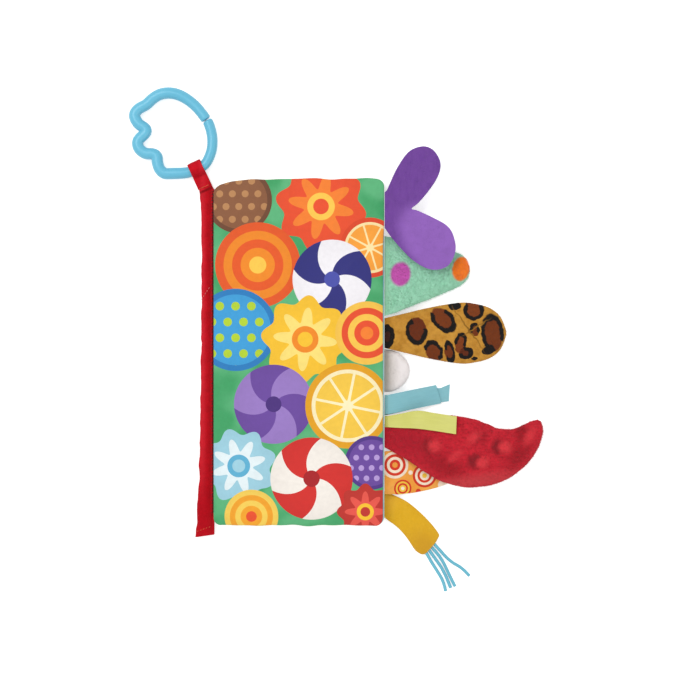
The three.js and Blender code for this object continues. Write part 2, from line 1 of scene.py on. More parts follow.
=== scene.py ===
"""Looks of the crinkle cloth book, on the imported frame.

Shapes are worked out in millimetres with numpy and put into meshes in metres. Each sub-assembly
is a class that holds its sizes and builds its pieces, and each finish is a frozen dataclass.
"""
import logging
import math
from collections.abc import Callable, Sequence
from dataclasses import dataclass, replace
from enum import Enum

import bpy
import numpy as np
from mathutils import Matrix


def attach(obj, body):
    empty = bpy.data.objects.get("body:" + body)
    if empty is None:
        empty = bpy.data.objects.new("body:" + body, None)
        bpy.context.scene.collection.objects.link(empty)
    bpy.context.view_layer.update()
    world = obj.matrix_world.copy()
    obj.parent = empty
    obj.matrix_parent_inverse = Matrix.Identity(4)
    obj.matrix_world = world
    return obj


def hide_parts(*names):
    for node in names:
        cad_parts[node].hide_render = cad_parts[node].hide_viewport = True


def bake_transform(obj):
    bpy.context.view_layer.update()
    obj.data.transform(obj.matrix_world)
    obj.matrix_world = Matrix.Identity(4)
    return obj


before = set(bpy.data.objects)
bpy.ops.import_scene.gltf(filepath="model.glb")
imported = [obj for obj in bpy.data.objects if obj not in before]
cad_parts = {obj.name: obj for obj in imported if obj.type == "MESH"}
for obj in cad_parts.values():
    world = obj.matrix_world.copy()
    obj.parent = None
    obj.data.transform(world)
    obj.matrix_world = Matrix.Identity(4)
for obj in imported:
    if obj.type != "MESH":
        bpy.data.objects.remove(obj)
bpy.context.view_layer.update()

LOG = logging.getLogger("cloth_book")
METRES = 0.001
TURN = 2 * math.pi
UP = np.array([0.0, 0.0, 1.0])

Array = np.ndarray
Socket = bpy.types.NodeSocket
Tree = bpy.types.NodeTree
Given = dict[str, Socket]
Drawn = Sequence[Socket]
Point = tuple[float, float, float]
Table = tuple[tuple[float, ...], ...]
Colour = tuple[float, float, float, float]


# Nodes

def linear(code: str) -> Colour:
    """Turns a written sRGB colour into linear light.

    Args:
        code: Six hexadecimal digits.

    Returns:
        Red, green, blue and a full alpha.
    """
    channels = np.array([int(code[at:at + 2], 16) for at in (0, 2, 4)]) / 255
    light = np.where(channels <= 0.04045, channels / 12.92, ((channels + 0.055) / 1.055) ** 2.4)
    return (float(light[0]), float(light[1]), float(light[2]), 1.0)


class NodePen:
    """Adds and joins the nodes of one tree."""

    def __init__(self, tree: Tree) -> None:
        """Keeps the tree that is drawn in."""
        self.tree = tree

    def feed(self, socket: Socket, value: object) -> None:
        """Links a socket into an input, or sets the input's own value."""
        if isinstance(value, bpy.types.NodeSocket):
            self.tree.links.new(value, socket)
        else:
            socket.default_value = value

    def add(self, kind: str, values: dict[int | str, object], **settings: object) -> bpy.types.Node:
        """Adds a node.

        Args:
            kind: The node's type name.
            values: Sockets or plain values for its inputs, by name or place.
            settings: The node's own properties.

        Returns:
            The new node.
        """
        node = self.tree.nodes.new(kind)
        for name, setting in settings.items():
            setattr(node, name, setting)
        for key, value in values.items():
            self.feed(node.inputs[key], value)
        return node

    def math(self, operation: str, *values: object, clamp: bool = False) -> Socket:
        """Result of a math node on one to three values."""
        node = self.add("ShaderNodeMath", dict(enumerate(values)), operation=operation, use_clamp=clamp)
        return node.outputs[0]

    def times(self, first: object, second: object) -> Socket:
        """Product of two values."""
        return self.math("MULTIPLY", first, second)

    def vector(self, operation: str, *values: object) -> Socket:
        """Vector that a vector math node gives."""
        return self.add("ShaderNodeVectorMath", dict(enumerate(values)), operation=operation).outputs[0]

    def scaled(self, vector: Socket, factor: object) -> Socket:
        """Vector times one number."""
        return self.add("ShaderNodeVectorMath", {0: vector, "Scale": factor}, operation="SCALE").outputs[0]

    def mix(self, share: object, first: object, second: object, blend: str = "MIX") -> Socket:
        """Colour between two colours."""
        values = {0: share, 6: first, 7: second}
        return self.add("ShaderNodeMix", values, data_type="RGBA", blend_type=blend).outputs[2]

    def noise(self, vector: Socket, scale: object, detail: float = 2.0, rough: float = 0.5) -> Socket:
        """Value of a noise texture, about 0 to 1."""
        values = {"Vector": vector, "Scale": scale, "Detail": detail, "Roughness": rough}
        return self.add("ShaderNodeTexNoise", values).outputs[0]

    def parts(self, vector: Socket) -> tuple[Socket, Socket, Socket]:
        """The three numbers of a vector."""
        outputs = self.add("ShaderNodeSeparateXYZ", {0: vector}).outputs
        return outputs[0], outputs[1], outputs[2]

    def length(self, x: object, y: object) -> Socket:
        """Root of the sum of two squares."""
        squares = self.math("MULTIPLY_ADD", x, x, self.times(y, y))
        return self.math("SQRT", squares)

    def joined(self, x: object, y: object, z: object = 0.0) -> Socket:
        """Vector made of three numbers."""
        return self.add("ShaderNodeCombineXYZ", {0: x, 1: y, 2: z}).outputs[0]

    def smooth(self, value: Socket, low: object, high: object) -> Socket:
        """Smooth step of a value from 0 at low to 1 at high."""
        values = {0: value, 1: low, 2: high, 3: 0.0, 4: 1.0}
        return self.add("ShaderNodeMapRange", values, interpolation_type="SMOOTHSTEP").outputs[0]


def fresh_pen(owner: bpy.types.Material | bpy.types.World) -> NodePen:
    """Pen for the emptied node tree of a material or a world."""
    owner.use_nodes = True
    owner.node_tree.nodes.clear()
    return NodePen(owner.node_tree)


KINDS = {float: "NodeSocketFloat", tuple: "NodeSocketVector", str: "NodeSocketColor"}
GROUPS: dict[str, Tree] = {}


def group(
    name: str,
    inputs: dict[str, type],
    outputs: dict[str, type],
    draw: Callable[[NodePen, Given], Drawn],
) -> Tree:
    """Makes a shader node group once, and gives the same one afterwards.

    Args:
        name: The group's name.
        inputs: Input names and kinds: float for a number, tuple for a vector, str for a colour.
        outputs: Output names and kinds, in the order that draw gives them.
        draw: Draws the nodes from the inputs' sockets, and returns the outputs' sockets.

    Returns:
        The group's tree.
    """
    if name in GROUPS:
        return GROUPS[name]
    tree = bpy.data.node_groups.new(name, "ShaderNodeTree")
    for way, names in (("INPUT", inputs), ("OUTPUT", outputs)):
        for label, kind in names.items():
            tree.interface.new_socket(name=label, in_out=way, socket_type=KINDS[kind])
    pen = NodePen(tree)
    entry = pen.add("NodeGroupInput", {})
    sockets = {label: entry.outputs[label] for label in inputs}
    results = draw(pen, sockets)
    pen.add("NodeGroupOutput", dict(enumerate(results)))
    GROUPS[name] = tree
    return tree


def grouped(pen: NodePen, tree: Tree, values: dict[str, object]) -> bpy.types.Node:
    """Node that holds a group, with the values given by name."""
    node = pen.add("ShaderNodeGroup", {}, node_tree=tree)
    for label, value in values.items():
        pen.feed(node.inputs[label], value)
    return node


class Texture(Enum):
    """Kinds of cloth and plastic surface that the finishes share."""

    WEAVE = "plain_weave"
    TWILL = "twill_weave"
    PILE = "brushed_pile"
    FELT = "pressed_felt"
    SATIN = "satin_ribs"
    MOULDED = "moulded_skin"


def grain_noise(
    pen: NodePen, given: Given, share: float, detail: float = 2.0, rough: float = 0.5,
) -> Socket:
    """Noise with share waves to the length of one grain."""
    return pen.noise(given["Vector"], pen.math("DIVIDE", share, given["Grain"]), detail, rough)


def draw_weave(pen: NodePen, given: Given) -> Drawn:
    """Plain weave: sine of x times sine of y, with thicker threads here and there."""
    cells = pen.scaled(given["Vector"], pen.math("DIVIDE", TURN, given["Grain"]))
    x, y, z = pen.parts(cells)
    warp = pen.math("SINE", pen.math("ADD", x, z))
    weft = pen.math("SINE", pen.math("ADD", y, z))
    slubs = grain_noise(pen, given, 0.16, 3.0)
    crossing = pen.math("MULTIPLY_ADD", pen.times(warp, weft), 0.5, 0.5)
    height = pen.math("MULTIPLY_ADD", slubs, 0.9, crossing)
    return height, slubs


def draw_twill(pen: NodePen, given: Given) -> Drawn:
    """Twill: slanting ribs, sine of x plus y, broken by noise along each rib."""
    cells = pen.scaled(given["Vector"], pen.math("DIVIDE", TURN, given["Grain"]))
    x, y, z = pen.parts(cells)
    slant = pen.math("ADD", pen.math("ADD", x, z), pen.times(y, 0.7))
    rib = pen.math("MULTIPLY_ADD", pen.math("SINE", slant), 0.5, 0.5)
    worn = grain_noise(pen, given, 0.22, 4.0, 0.6)
    height = pen.math("MULTIPLY_ADD", worn, 1.3, rib)
    return height, pen.math("MULTIPLY_ADD", rib, 0.25, pen.times(worn, 0.75))


def draw_pile(pen: NodePen, given: Given) -> Drawn:
    """Pile: tufts of fine noise, combed into patches by a broad noise that bends the place."""
    broad = pen.add("ShaderNodeTexNoise", {
        "Vector": given["Vector"],
        "Scale": pen.math("DIVIDE", 0.16, given["Grain"]),
        "Detail": 2.0,
    }).outputs[1]
    bent = pen.vector("ADD", given["Vector"], pen.scaled(broad, pen.times(given["Grain"], 5.0)))
    tufts = pen.noise(bent, pen.math("DIVIDE", 1.0, given["Grain"]), 3.0, 0.65)
    patches = pen.noise(bent, pen.math("DIVIDE", 0.22, given["Grain"]), 2.0, 0.5)
    height = pen.math("MULTIPLY_ADD", patches, 0.9, tufts)
    shade = pen.math("MULTIPLY_ADD", tufts, 0.55, pen.times(patches, 0.45))
    return height, shade


def draw_felt(pen: NodePen, given: Given) -> Drawn:
    """Felt: the higher of two noises that are drawn out along crossing directions."""
    size = pen.math("DIVIDE", 1.0, given["Grain"])
    along = pen.noise(pen.vector("MULTIPLY", given["Vector"], (0.25, 1.6, 1.0)), size, 3.0, 0.7)
    x, y, z = pen.parts(given["Vector"])
    turned = pen.joined(pen.math("ADD", x, y), pen.math("SUBTRACT", x, y), z)
    across = pen.noise(pen.vector("MULTIPLY", turned, (0.25, 1.4, 1.0)), size, 3.0, 0.7)
    height = pen.math("MAXIMUM", along, across)
    cloudy = grain_noise(pen, given, 0.1)
    return height, pen.math("MULTIPLY_ADD", height, 0.5, pen.times(cloudy, 0.5))


def draw_satin(pen: NodePen, given: Given) -> Drawn:
    """Satin: fine ribs across the ribbon's length, and streaks of noise drawn out along it."""
    u, v, w = pen.parts(given["Vector"])
    rib = pen.math("SINE", pen.times(u, pen.math("DIVIDE", TURN, given["Grain"])))
    drawn = pen.joined(pen.times(u, 0.06), v, w)
    streaks = pen.noise(drawn, pen.math("DIVIDE", 0.6, given["Grain"]), 3.0, 0.6)
    height = pen.math("MULTIPLY_ADD", rib, 0.35, streaks)
    return height, streaks


def draw_moulded(pen: NodePen, given: Given) -> Drawn:
    """Moulded plastic: a faint ripple and a fine handling haze."""
    ripple = grain_noise(pen, given, 0.4)
    haze = grain_noise(pen, given, 3.0, 4.0, 0.7)
    return pen.math("MULTIPLY_ADD", haze, 0.12, ripple), haze


TEXTURE_DRAWINGS = {
    Texture.WEAVE: draw_weave,
    Texture.TWILL: draw_twill,
    Texture.PILE: draw_pile,
    Texture.FELT: draw_felt,
    Texture.SATIN: draw_satin,
    Texture.MOULDED: draw_moulded,
}


def polar(pen: NodePen, given: Given) -> tuple[Socket, Socket, Socket, Socket]:
    """Place round a motif's centre: share of its radius, angle, and x and y as shares."""
    offset = pen.vector("SUBTRACT", given["Vector"], given["Centre"])
    x, y, _ = pen.parts(pen.scaled(offset, pen.math("DIVIDE", 1.0, given["Radius"])))
    reach = pen.length(x, y)
    angle = pen.math("ADD", pen.math("ARCTAN2", y, x), given["Turn"])
    return reach, angle, x, y


def laid_over(pen: NodePen, given: Given, reach: Socket, face: Socket, rim: object = 1.0) -> Drawn:
    """Prints a motif's face over the colour below it, up to its rim and a little deeper there."""
    inside = pen.math("LESS_THAN", reach, rim)
    shaded = pen.mix(pen.times(pen.times(reach, reach), 0.16), face,
                     pen.mix(1.0, face, (0.55, 0.5, 0.5, 1.0), "MULTIPLY"))
    return (pen.mix(inside, given["Under"], shaded),)


def draw_flower(pen: NodePen, given: Given) -> Drawn:
    """Flower: a rim that waves eight times round, veined petals and a ringed middle."""
    reach, angle, _, _ = polar(pen, given)
    wave = pen.math("COSINE", pen.times(angle, 8.0))
    rim = pen.math("MULTIPLY_ADD", wave, 0.09, 0.91)
    tip = pen.math("GREATER_THAN", pen.math("SUBTRACT", reach, pen.times(wave, 0.17)), 0.55)
    face = pen.mix(tip, given["Second"], given["Main"])
    face = pen.mix(pen.math("LESS_THAN", reach, 0.3), face, given["Third"])
    face = pen.mix(pen.math("LESS_THAN", reach, 0.17), face, given["Main"])
    return laid_over(pen, given, reach, face, rim)


def draw_ball(pen: NodePen, given: Given) -> Drawn:
    """Ball: six curved sectors in two colours, with a hub."""
    reach, angle, _, _ = polar(pen, given)
    swept = pen.math("MULTIPLY_ADD", reach, 0.9, angle)
    sector = pen.math("GREATER_THAN", pen.math("SINE", pen.times(swept, 3.0)), 0.0)
    face = pen.mix(sector, given["Main"], given["Second"])
    face = pen.mix(pen.math("LESS_THAN", reach, 0.2), face, given["Third"])
    return laid_over(pen, given, reach, face)


def draw_rings(pen: NodePen, given: Given) -> Drawn:
    """Rings: bands of two colours round a middle of the third."""
    reach, _, _, _ = polar(pen, given)
    band = pen.math("GREATER_THAN", pen.math("SINE", pen.times(reach, 15.7)), 0.0)
    face = pen.mix(band, given["Main"], given["Second"])
    face = pen.mix(pen.math("LESS_THAN", reach, 0.2), face, given["Third"])
    return laid_over(pen, given, reach, face)


def draw_slice(pen: NodePen, given: Given) -> Drawn:
    """Fruit slice: a peel, a pale pith, and eight segments parted by thin walls."""
    reach, angle, _, _ = polar(pen, given)
    swing = pen.math("SINE", pen.times(angle, 4.0))
    wall = pen.times(pen.math("ABSOLUTE", swing), reach)
    face = pen.mix(pen.math("LESS_THAN", wall, 0.12), given["Second"], given["Third"])
    face = pen.mix(pen.math("GREATER_THAN", reach, 0.76), face, given["Third"])
    face = pen.mix(pen.math("GREATER_THAN", reach, 0.85), face, given["Main"])
    return laid_over(pen, given, reach, face)


def draw_spots(pen: NodePen, given: Given) -> Drawn:
    """Spotted disc: a staggered grid of dots, with a plain rim."""
    reach, _, x, y = polar(pen, given)
    row = pen.math("FLOOR", pen.times(y, 2.6))
    shifted = pen.math("MULTIPLY_ADD", row, 0.5, pen.times(x, 2.6))
    across = pen.math("SUBTRACT", pen.math("FRACT", shifted), 0.5)
    along = pen.math("SUBTRACT", pen.math("FRACT", pen.times(y, 2.6)), 0.5)
    far = pen.math("ADD", pen.times(across, across), pen.times(along, along))
    face = pen.mix(pen.math("LESS_THAN", far, 0.075), given["Main"], given["Second"])
    face = pen.mix(pen.math("GREATER_THAN", reach, 0.86), face, given["Third"])
    return laid_over(pen, given, reach, face)


class MotifKind(Enum):
    """Round figures that the printed cloths are made of."""

    FLOWER = "flower"
    BALL = "ball"
    RINGS = "rings"
    SLICE = "slice"
    SPOTS = "spots"


FLOWER, BALL, RINGS, SLICE, SPOTS = MotifKind
MOTIF_DRAWINGS = {
    FLOWER: draw_flower,
    BALL: draw_ball,
    RINGS: draw_rings,
    SLICE: draw_slice,
    SPOTS: draw_spots,
}
MOTIF_INPUTS = {
    "Vector": tuple, "Centre": tuple, "Radius": float, "Turn": float,
    "Main": str, "Second": str, "Third": str, "Under": str,
}


# Paints and finishes

@dataclass(frozen=True)
class Motif:
    """One round figure of a print: its place and radius in millimetres and its colours."""

    kind: MotifKind
    x: float
    y: float
    radius: float
    main: str
    second: str
    third: str
    turn: float = 0.0


@dataclass(frozen=True)
class PlainPaint:
    """Cloth dyed in one colour, with a second colour where light and hand have worn it."""

    colour: str
    worn: str

    def colour_of(self, pen: NodePen, vector: Socket) -> Socket:
        """Colour between the two, in soft patches."""
        patches = pen.smooth(pen.noise(vector, 60.0, 3.0), 0.35, 0.7)
        return pen.mix(pen.times(patches, 0.6), linear(self.colour), linear(self.worn))


@dataclass(frozen=True)
class PrintPaint:
    """Printed cloth: round figures that overlap on a ground of two colours."""

    ground: str
    ground_shade: str
    motifs: tuple[Motif, ...]

    def colour_of(self, pen: NodePen, vector: Socket) -> Socket:
        """Colour of the ground, with each motif laid over those before it."""
        patches = pen.smooth(pen.noise(vector, 45.0, 1.0), 0.4, 0.6)
        colour = pen.mix(patches, linear(self.ground), linear(self.ground_shade))
        for motif in self.motifs:
            name = "motif_" + motif.kind.value
            tree = group(name, MOTIF_INPUTS, {"Colour": str}, MOTIF_DRAWINGS[motif.kind])
            colour = grouped(pen, tree, {
                "Vector": vector,
                "Centre": (motif.x * METRES, motif.y * METRES, 0.0),
                "Radius": motif.radius * METRES,
                "Turn": motif.turn,
                "Main": linear(motif.main),
                "Second": linear(motif.second),
                "Third": linear(motif.third),
                "Under": colour,
            }).outputs[0]
        return colour


@dataclass(frozen=True)
class Spot:
    """Oval patch of dye, painted shade or painted highlight: its place, half-widths in millimetres, turn in
    degrees and colour.
    """

    x: float
    y: float
    half_long: float
    half_wide: float
    turn: float
    colour: str
    softness: float = 0.06


def draw_spot(pen: NodePen, given: Given) -> Drawn:
    """Mask of an oval, and the place in it: share of its half-length, and angle.

    The oval is turned by Turn, as wide as Slimness times its length, and fades over Softness.
    """
    x, y, _ = pen.parts(pen.vector("SUBTRACT", given["Vector"], given["Centre"]))
    cosine = pen.math("COSINE", given["Turn"])
    sine = pen.math("SINE", given["Turn"])
    along = pen.math("MULTIPLY_ADD", x, cosine, pen.times(y, sine))
    across = pen.math("SUBTRACT", pen.times(y, cosine), pen.times(x, sine))
    across = pen.math("DIVIDE", across, given["Slimness"])
    reach = pen.math("DIVIDE", pen.length(along, across), given["Radius"])
    outside = pen.math("ADD", 1.0, given["Softness"])
    inside = pen.math("SUBTRACT", 1.0, given["Softness"])
    mask = pen.smooth(reach, outside, inside)
    angle = pen.math("ARCTAN2", across, along)
    return mask, reach, angle


SPOT_INPUTS = {
    "Vector": tuple, "Centre": tuple, "Radius": float, "Slimness": float, "Turn": float, "Softness": float,
}


def spot_node(pen: NodePen, vector: Socket, spot: Spot) -> bpy.types.Node:
    """Group node for one oval, with outputs Mask, Reach and Angle."""
    tree = group("oval_patch", SPOT_INPUTS, {"Mask": float, "Reach": float, "Angle": float}, draw_spot)
    return grouped(pen, tree, {
        "Vector": vector,
        "Centre": (spot.x * METRES, spot.y * METRES, 0.0),
        "Radius": spot.half_long * METRES,
        "Slimness": spot.half_wide / spot.half_long,
        "Turn": math.radians(spot.turn),
        "Softness": spot.softness,
    })


def ragged(pen: NodePen, vector: Socket, reach: float, size: float) -> Socket:
    """Place pushed about by noise, so that a printed rim on pile comes out uneven.

    Args:
        pen: The tree's pen.
        vector: The place.
        reach: How far it is pushed, in millimetres.
        size: Width of the noise's waves, in millimetres.

    Returns:
        The pushed place, in the plane of the book.
    """
    push = pen.add("ShaderNodeTexNoise", {"Vector": vector, "Scale": 1 / (size * METRES), "Detail": 3.0})
    centred = pen.vector("SUBTRACT", push.outputs[1], (0.5, 0.5, 0.5))
    return pen.vector("ADD", vector, pen.scaled(centred, reach * 2 * METRES))


@dataclass(frozen=True)
class SpottedPaint:
    """Plush of one colour, streaked by its nap, with oval spots of dye, painted shade and painted highlight.
    """

    ground: str
    streak: str
    spots: tuple[Spot, ...]
    nap: Point = (1.0, 0.3, 1.0)
    strength: float = 0.5
    streak_size: float = 2.4

    def colour_of(self, pen: NodePen, vector: Socket) -> Socket:
        """Ground and streaks along the nap, with the spots laid over."""
        drawn = pen.vector("MULTIPLY", vector, self.nap)
        streaks = pen.smooth(pen.noise(drawn, 1 / (self.streak_size * METRES), 4.0, 0.65), 0.4, 0.7)
        share = pen.times(streaks, self.strength)
        colour = pen.mix(share, linear(self.ground), linear(self.streak))
        place = ragged(pen, vector, 0.5, 1.4)
        for spot in self.spots:
            colour = pen.mix(spot_node(pen, place, spot).outputs[0], colour, linear(spot.colour))
        return colour


@dataclass(frozen=True)
class Rosette:
    """One leopard spot: an oval with a dark rim, open towards gap and open_width to each side.

    Both are in degrees. The rim starts at core, a share of the oval. Open all round, a rosette is also used
    as a thin line of painted shade in a fold.
    """

    oval: Spot
    gap: float
    open_width: float = 50.0
    core: float = 0.58


@dataclass(frozen=True)
class RosettePaint:
    """Tan plush with leopard spots: dark broken rims round brown cores, and thin lines of painted shade in
    its folds.
    """

    ground: str
    shade: str
    rim: str
    rosettes: tuple[Rosette, ...]

    def colour_of(self, pen: NodePen, vector: Socket) -> Socket:
        """Ground with each spot's core and its broken rim laid over."""
        patches = pen.smooth(pen.noise(vector, 180.0, 4.0, 0.65), 0.35, 0.75)
        colour = pen.mix(patches, linear(self.ground), linear(self.shade))
        place = ragged(pen, vector, 1.5, 3.6)
        for rosette in self.rosettes:
            node = spot_node(pen, place, rosette.oval)
            colour = pen.mix(node.outputs[0], colour, linear(rosette.oval.colour))
            aside = pen.math("SUBTRACT", node.outputs[2], math.radians(rosette.gap))
            open_from = math.cos(math.radians(rosette.open_width))
            away = pen.math("LESS_THAN", pen.math("COSINE", aside), open_from)
            outer = pen.smooth(node.outputs[1], 1.1, 1.0)
            band = pen.times(outer, pen.smooth(node.outputs[1], rosette.core, rosette.core + 0.08))
            colour = pen.mix(pen.times(band, away), colour, linear(self.rim))
        return colour


Paint = PlainPaint | PrintPaint | SpottedPaint | RosettePaint


@dataclass(frozen=True)
class Finish:
    """Cloth, thread or plastic that pieces are made of.

    Grain is the size of its texture and relief the height, in millimetres. The hollow shade is
    painted shade: how much darker the low places of the texture are painted. By_surface lays the
    texture along the piece's own places, and otherwise it lies in space.
    """

    slot: str
    texture: Texture
    grain: float
    relief: float
    roughness: float
    paint: Paint
    sheen: float = 0.0
    # Painted shade of the texture's low places.
    hollow_shade: float = 0.3
    specular: float = 0.25
    by_surface: bool = False

    def material(self, name: str) -> bpy.types.Material:
        """Makes the finish's material.

        Args:
            name: The material's name.

        Returns:
            A Principled material whose colour, roughness and bump come from the texture group.
        """
        if name in bpy.data.materials:
            return bpy.data.materials[name]
        material = bpy.data.materials.new(name)
        pen = fresh_pen(material)
        places = pen.add("ShaderNodeTexCoord", {})
        place = places.outputs["Object"]
        weave_place = places.outputs["UV"] if self.by_surface else place
        values = {"Vector": weave_place, "Grain": self.grain * METRES}
        texture = grouped(pen, texture_group(self.texture), values)
        height, shade = texture.outputs[0], texture.outputs[1]
        dye = self.paint.colour_of(pen, place)
        # Painted shade: the texture's low places are painted darker, by the hollow shade.
        low = pen.times(pen.smooth(shade, 0.75, 0.25), self.hollow_shade)
        colour = pen.mix(low, dye, pen.mix(1.0, dye, (0.3, 0.28, 0.3, 1.0), "MULTIPLY"))
        rough = pen.math("MULTIPLY_ADD", shade, 0.16, self.roughness - 0.08, clamp=True)
        values = {"Height": height, "Distance": self.relief * METRES, "Strength": 1.0}
        bump = pen.add("ShaderNodeBump", values)
        surface = pen.add("ShaderNodeBsdfPrincipled", {
            "Base Color": colour,
            "Roughness": rough,
            "Normal": bump.outputs[0],
            "Sheen Weight": self.sheen,
            "Specular IOR Level": self.specular,
        })
        pen.add("ShaderNodeOutputMaterial", {"Surface": surface.outputs[0]})
        return material


def texture_group(texture: Texture) -> Tree:
    """Shared node group of one texture, with inputs Vector and Grain."""
    return group(
        texture.value,
        {"Vector": tuple, "Grain": float},
        {"Height": float, "Shade": float},
        TEXTURE_DRAWINGS[texture],
    )


# Forms

@dataclass
class Form:
    """A closed skin: points in millimetres, its faces, and where wanted a place on the surface."""

    points: Array
    faces: list[Array]
    surface: Array | None = None


def refined(rows: Array, between: int) -> Array:
    """Rows with smooth rows added between them.

    Between two rows the value is the cubic that leaves the first and reaches the second with half
    the difference of the rows on either side, the same curve that the frame's tails follow.

    Args:
        rows: Values, one row for each given place.
        between: Steps from one given row to the next.

    Returns:
        The longer table.
    """
    start, end = rows[:-1], rows[1:]
    before = np.concatenate([rows[:1], rows[:-2]])
    after = np.concatenate([rows[2:], rows[-1:]])
    leave, arrive = (end - before) / 2, (after - start) / 2
    step = (np.arange(between) / between).reshape((1, between) + (1,) * (rows.ndim - 1))
    cubic = (2 * (start - end) + leave + arrive)[:, None]
    square = (3 * (end - start) - 2 * leave - arrive)[:, None]
    smooth = ((cubic * step + square) * step + leave[:, None]) * step + start[:, None]
    return np.concatenate([smooth.reshape((-1,) + rows.shape[1:]), rows[-1:]])


def unit(vectors: Array) -> Array:
    """Vectors cut to length 1."""
    return vectors / np.maximum(np.linalg.norm(vectors, axis=-1, keepdims=True), 1e-12)


def grid_normals(grid: Array) -> Array:
    """Unit normals of a grid of points: first direction's slope crossed with the second's."""
    return unit(np.cross(np.gradient(grid, axis=0), np.gradient(grid, axis=1)))


def grid_quads(rows: int, columns: int, closed: bool = False) -> Array:
    """Four-sided faces of a grid of points, with the last column joined to the first if closed."""
    index = np.arange(rows * columns).reshape(rows, columns)
    if closed:
        index = np.concatenate([index, index[:, :1]], axis=1)
    corners = [index[:-1, :-1], index[:-1, 1:], index[1:, 1:], index[1:, :-1]]
    return np.stack(corners, axis=-1).reshape(-1, 4)


def way_along(line: Array) -> Array:
    """Length of the way from a line's first point to each of its points."""
    return np.concatenate([[0], np.cumsum(np.linalg.norm(np.diff(line, axis=0), axis=1))])


def eased(value: Array) -> Array:
    """Smooth step: 0 up to 0, 1 from 1, level at both."""
    t = np.clip(value, 0, 1)
    return t * t * (3 - 2 * t)


def outward(form: Form) -> Form:
    """The same skin with its faces turned outwards, by the sign of the volume it encloses."""
    volume = 0.0
    for faces in form.faces:
        for second in range(1, faces.shape[1] - 1):
            a, b, c = (form.points[faces[:, at]] for at in (0, second, second + 1))
            volume += float(np.einsum("ij,ij->", a, np.cross(b, c)))
    if volume < 0:
        form.faces = [faces[:, ::-1] for faces in form.faces]
    return form


def edge_wall(edge: Array, count: int) -> Array:
    """Faces between an edge and the same edge of the other side, count points further on."""
    return np.stack([edge[1:], edge[:-1], edge[:-1] + count, edge[1:] + count], axis=-1)


def shell(outer: Array, inner: Array, closed: bool = False, surface: Array | None = None) -> Form:
    """Closed skin of cloth between an outer and an inner grid of the same shape.

    Args:
        outer: Rows x columns x 3 points.
        inner: The same for the other side.
        closed: Whether the last column meets the first.
        surface: Rows x columns x 2 places on the cloth, in millimetres.

    Returns:
        The skin, with walls along the grid's open edges.
    """
    rows, columns = outer.shape[:2]
    count = rows * columns
    quads = grid_quads(rows, columns, closed)
    index = np.arange(count).reshape(rows, columns)
    if closed:
        first = np.append(index[0], index[0, 0])
        last = np.append(index[-1], index[-1, 0])[::-1]
        edges = [first, last]
    else:
        edges = [np.concatenate([index[0], index[1:, -1], index[-1, -2::-1], index[-2::-1, 0]])]
    walls = [edge_wall(edge, count) for edge in edges]
    points = np.concatenate([outer.reshape(-1, 3), inner.reshape(-1, 3)])
    places = None if surface is None else np.tile(surface.reshape(-1, 2), (2, 1))
    return outward(Form(points, [quads, quads[:, ::-1] + count, *walls], places))


def tube(rings: Array) -> Form:
    """Closed skin over rows of rings, with a flat face at each end."""
    rows, columns = rings.shape[:2]
    index = np.arange(rows * columns).reshape(rows, columns)
    ends = [index[0][::-1][None], index[-1][None]]
    return outward(Form(rings.reshape(-1, 3), [grid_quads(rows, columns, True), *ends]))


def carried(path: Array, profile: Array) -> Array:
    """A profile carried along a path: sideways times its first number, upwards times its second.

    Args:
        path: Points along the way.
        profile: Points of the profile, the same everywhere, or one set for each point of the path.

    Returns:
        Rows x columns x 3 points.
    """
    along = unit(np.gradient(path, axis=0))
    side = unit(np.cross(along, UP))
    lift = np.cross(side, along)
    profile = np.broadcast_to(profile, (len(path),) + profile.shape[-2:])
    return path[:, None] + profile[..., :1] * side[:, None] + profile[..., 1:] * lift[:, None]


def circle(radius: float, count: int) -> Array:
    """Points of a circle, cosine and sine of equal turns."""
    angle = np.linspace(0, TURN, count, endpoint=False)
    return radius * np.stack([np.cos(angle), np.sin(angle)], axis=-1)


def thread(path: Array, radius: float, sides: int = 6) -> Form:
    """Thin round thread along a path, drawn in at both ends."""
    taper = np.ones(len(path))
    taper[[0, -1]] = 0.35
    return tube(carried(path, circle(radius, sides)[None] * taper[:, None, None]))


def merged(forms: Sequence[Form]) -> Form:
    """Several skins as one piece."""
    starts = np.cumsum([0] + [len(form.points) for form in forms[:-1]])
    faces = [part + start for form, start in zip(forms, starts) for part in form.faces]
    return Form(np.concatenate([form.points for form in forms]), faces)


def stitch_row(start: Array, finish: Array, count: int, length: float = 1.05) -> Form:
    """Row of short stitches between two points, each bowed up from the cloth.

    Args:
        start: Middle of the first stitch.
        finish: Middle of the last one.
        count: Number of stitches.
        length: Length of each, in millimetres.

    Returns:
        One skin with all the stitches.
    """
    bow, radius = 0.16, 0.17
    step = np.linspace(-0.5, 0.5, 6)[:, None]
    stitch = step * unit(finish - start) * length + UP * bow * (1 - 4 * step ** 2)
    return merged([thread(stitch + place, radius) for place in np.linspace(start, finish, count)])


def waves(place: Array, length: float, seed: int, count: int = 7) -> Array:
    """Smooth unevenness, about -1 to 1: the mean of sines along several seeded directions.

    Args:
        place: Points, with 2 or 3 numbers each.
        length: Usual length of a wave, in millimetres.
        seed: Seed of the directions and phases.
        count: Number of sines.

    Returns:
        One number for each point.
    """
    dice = np.random.default_rng(seed)
    directions = unit(dice.normal(size=(count, place.shape[-1])))
    lengths = length * dice.uniform(0.6, 1.7, count)
    phases = dice.uniform(0, TURN, count)
    turns = place @ (directions / lengths[:, None] * TURN).T + phases
    return np.sin(turns).mean(axis=-1) * 1.6


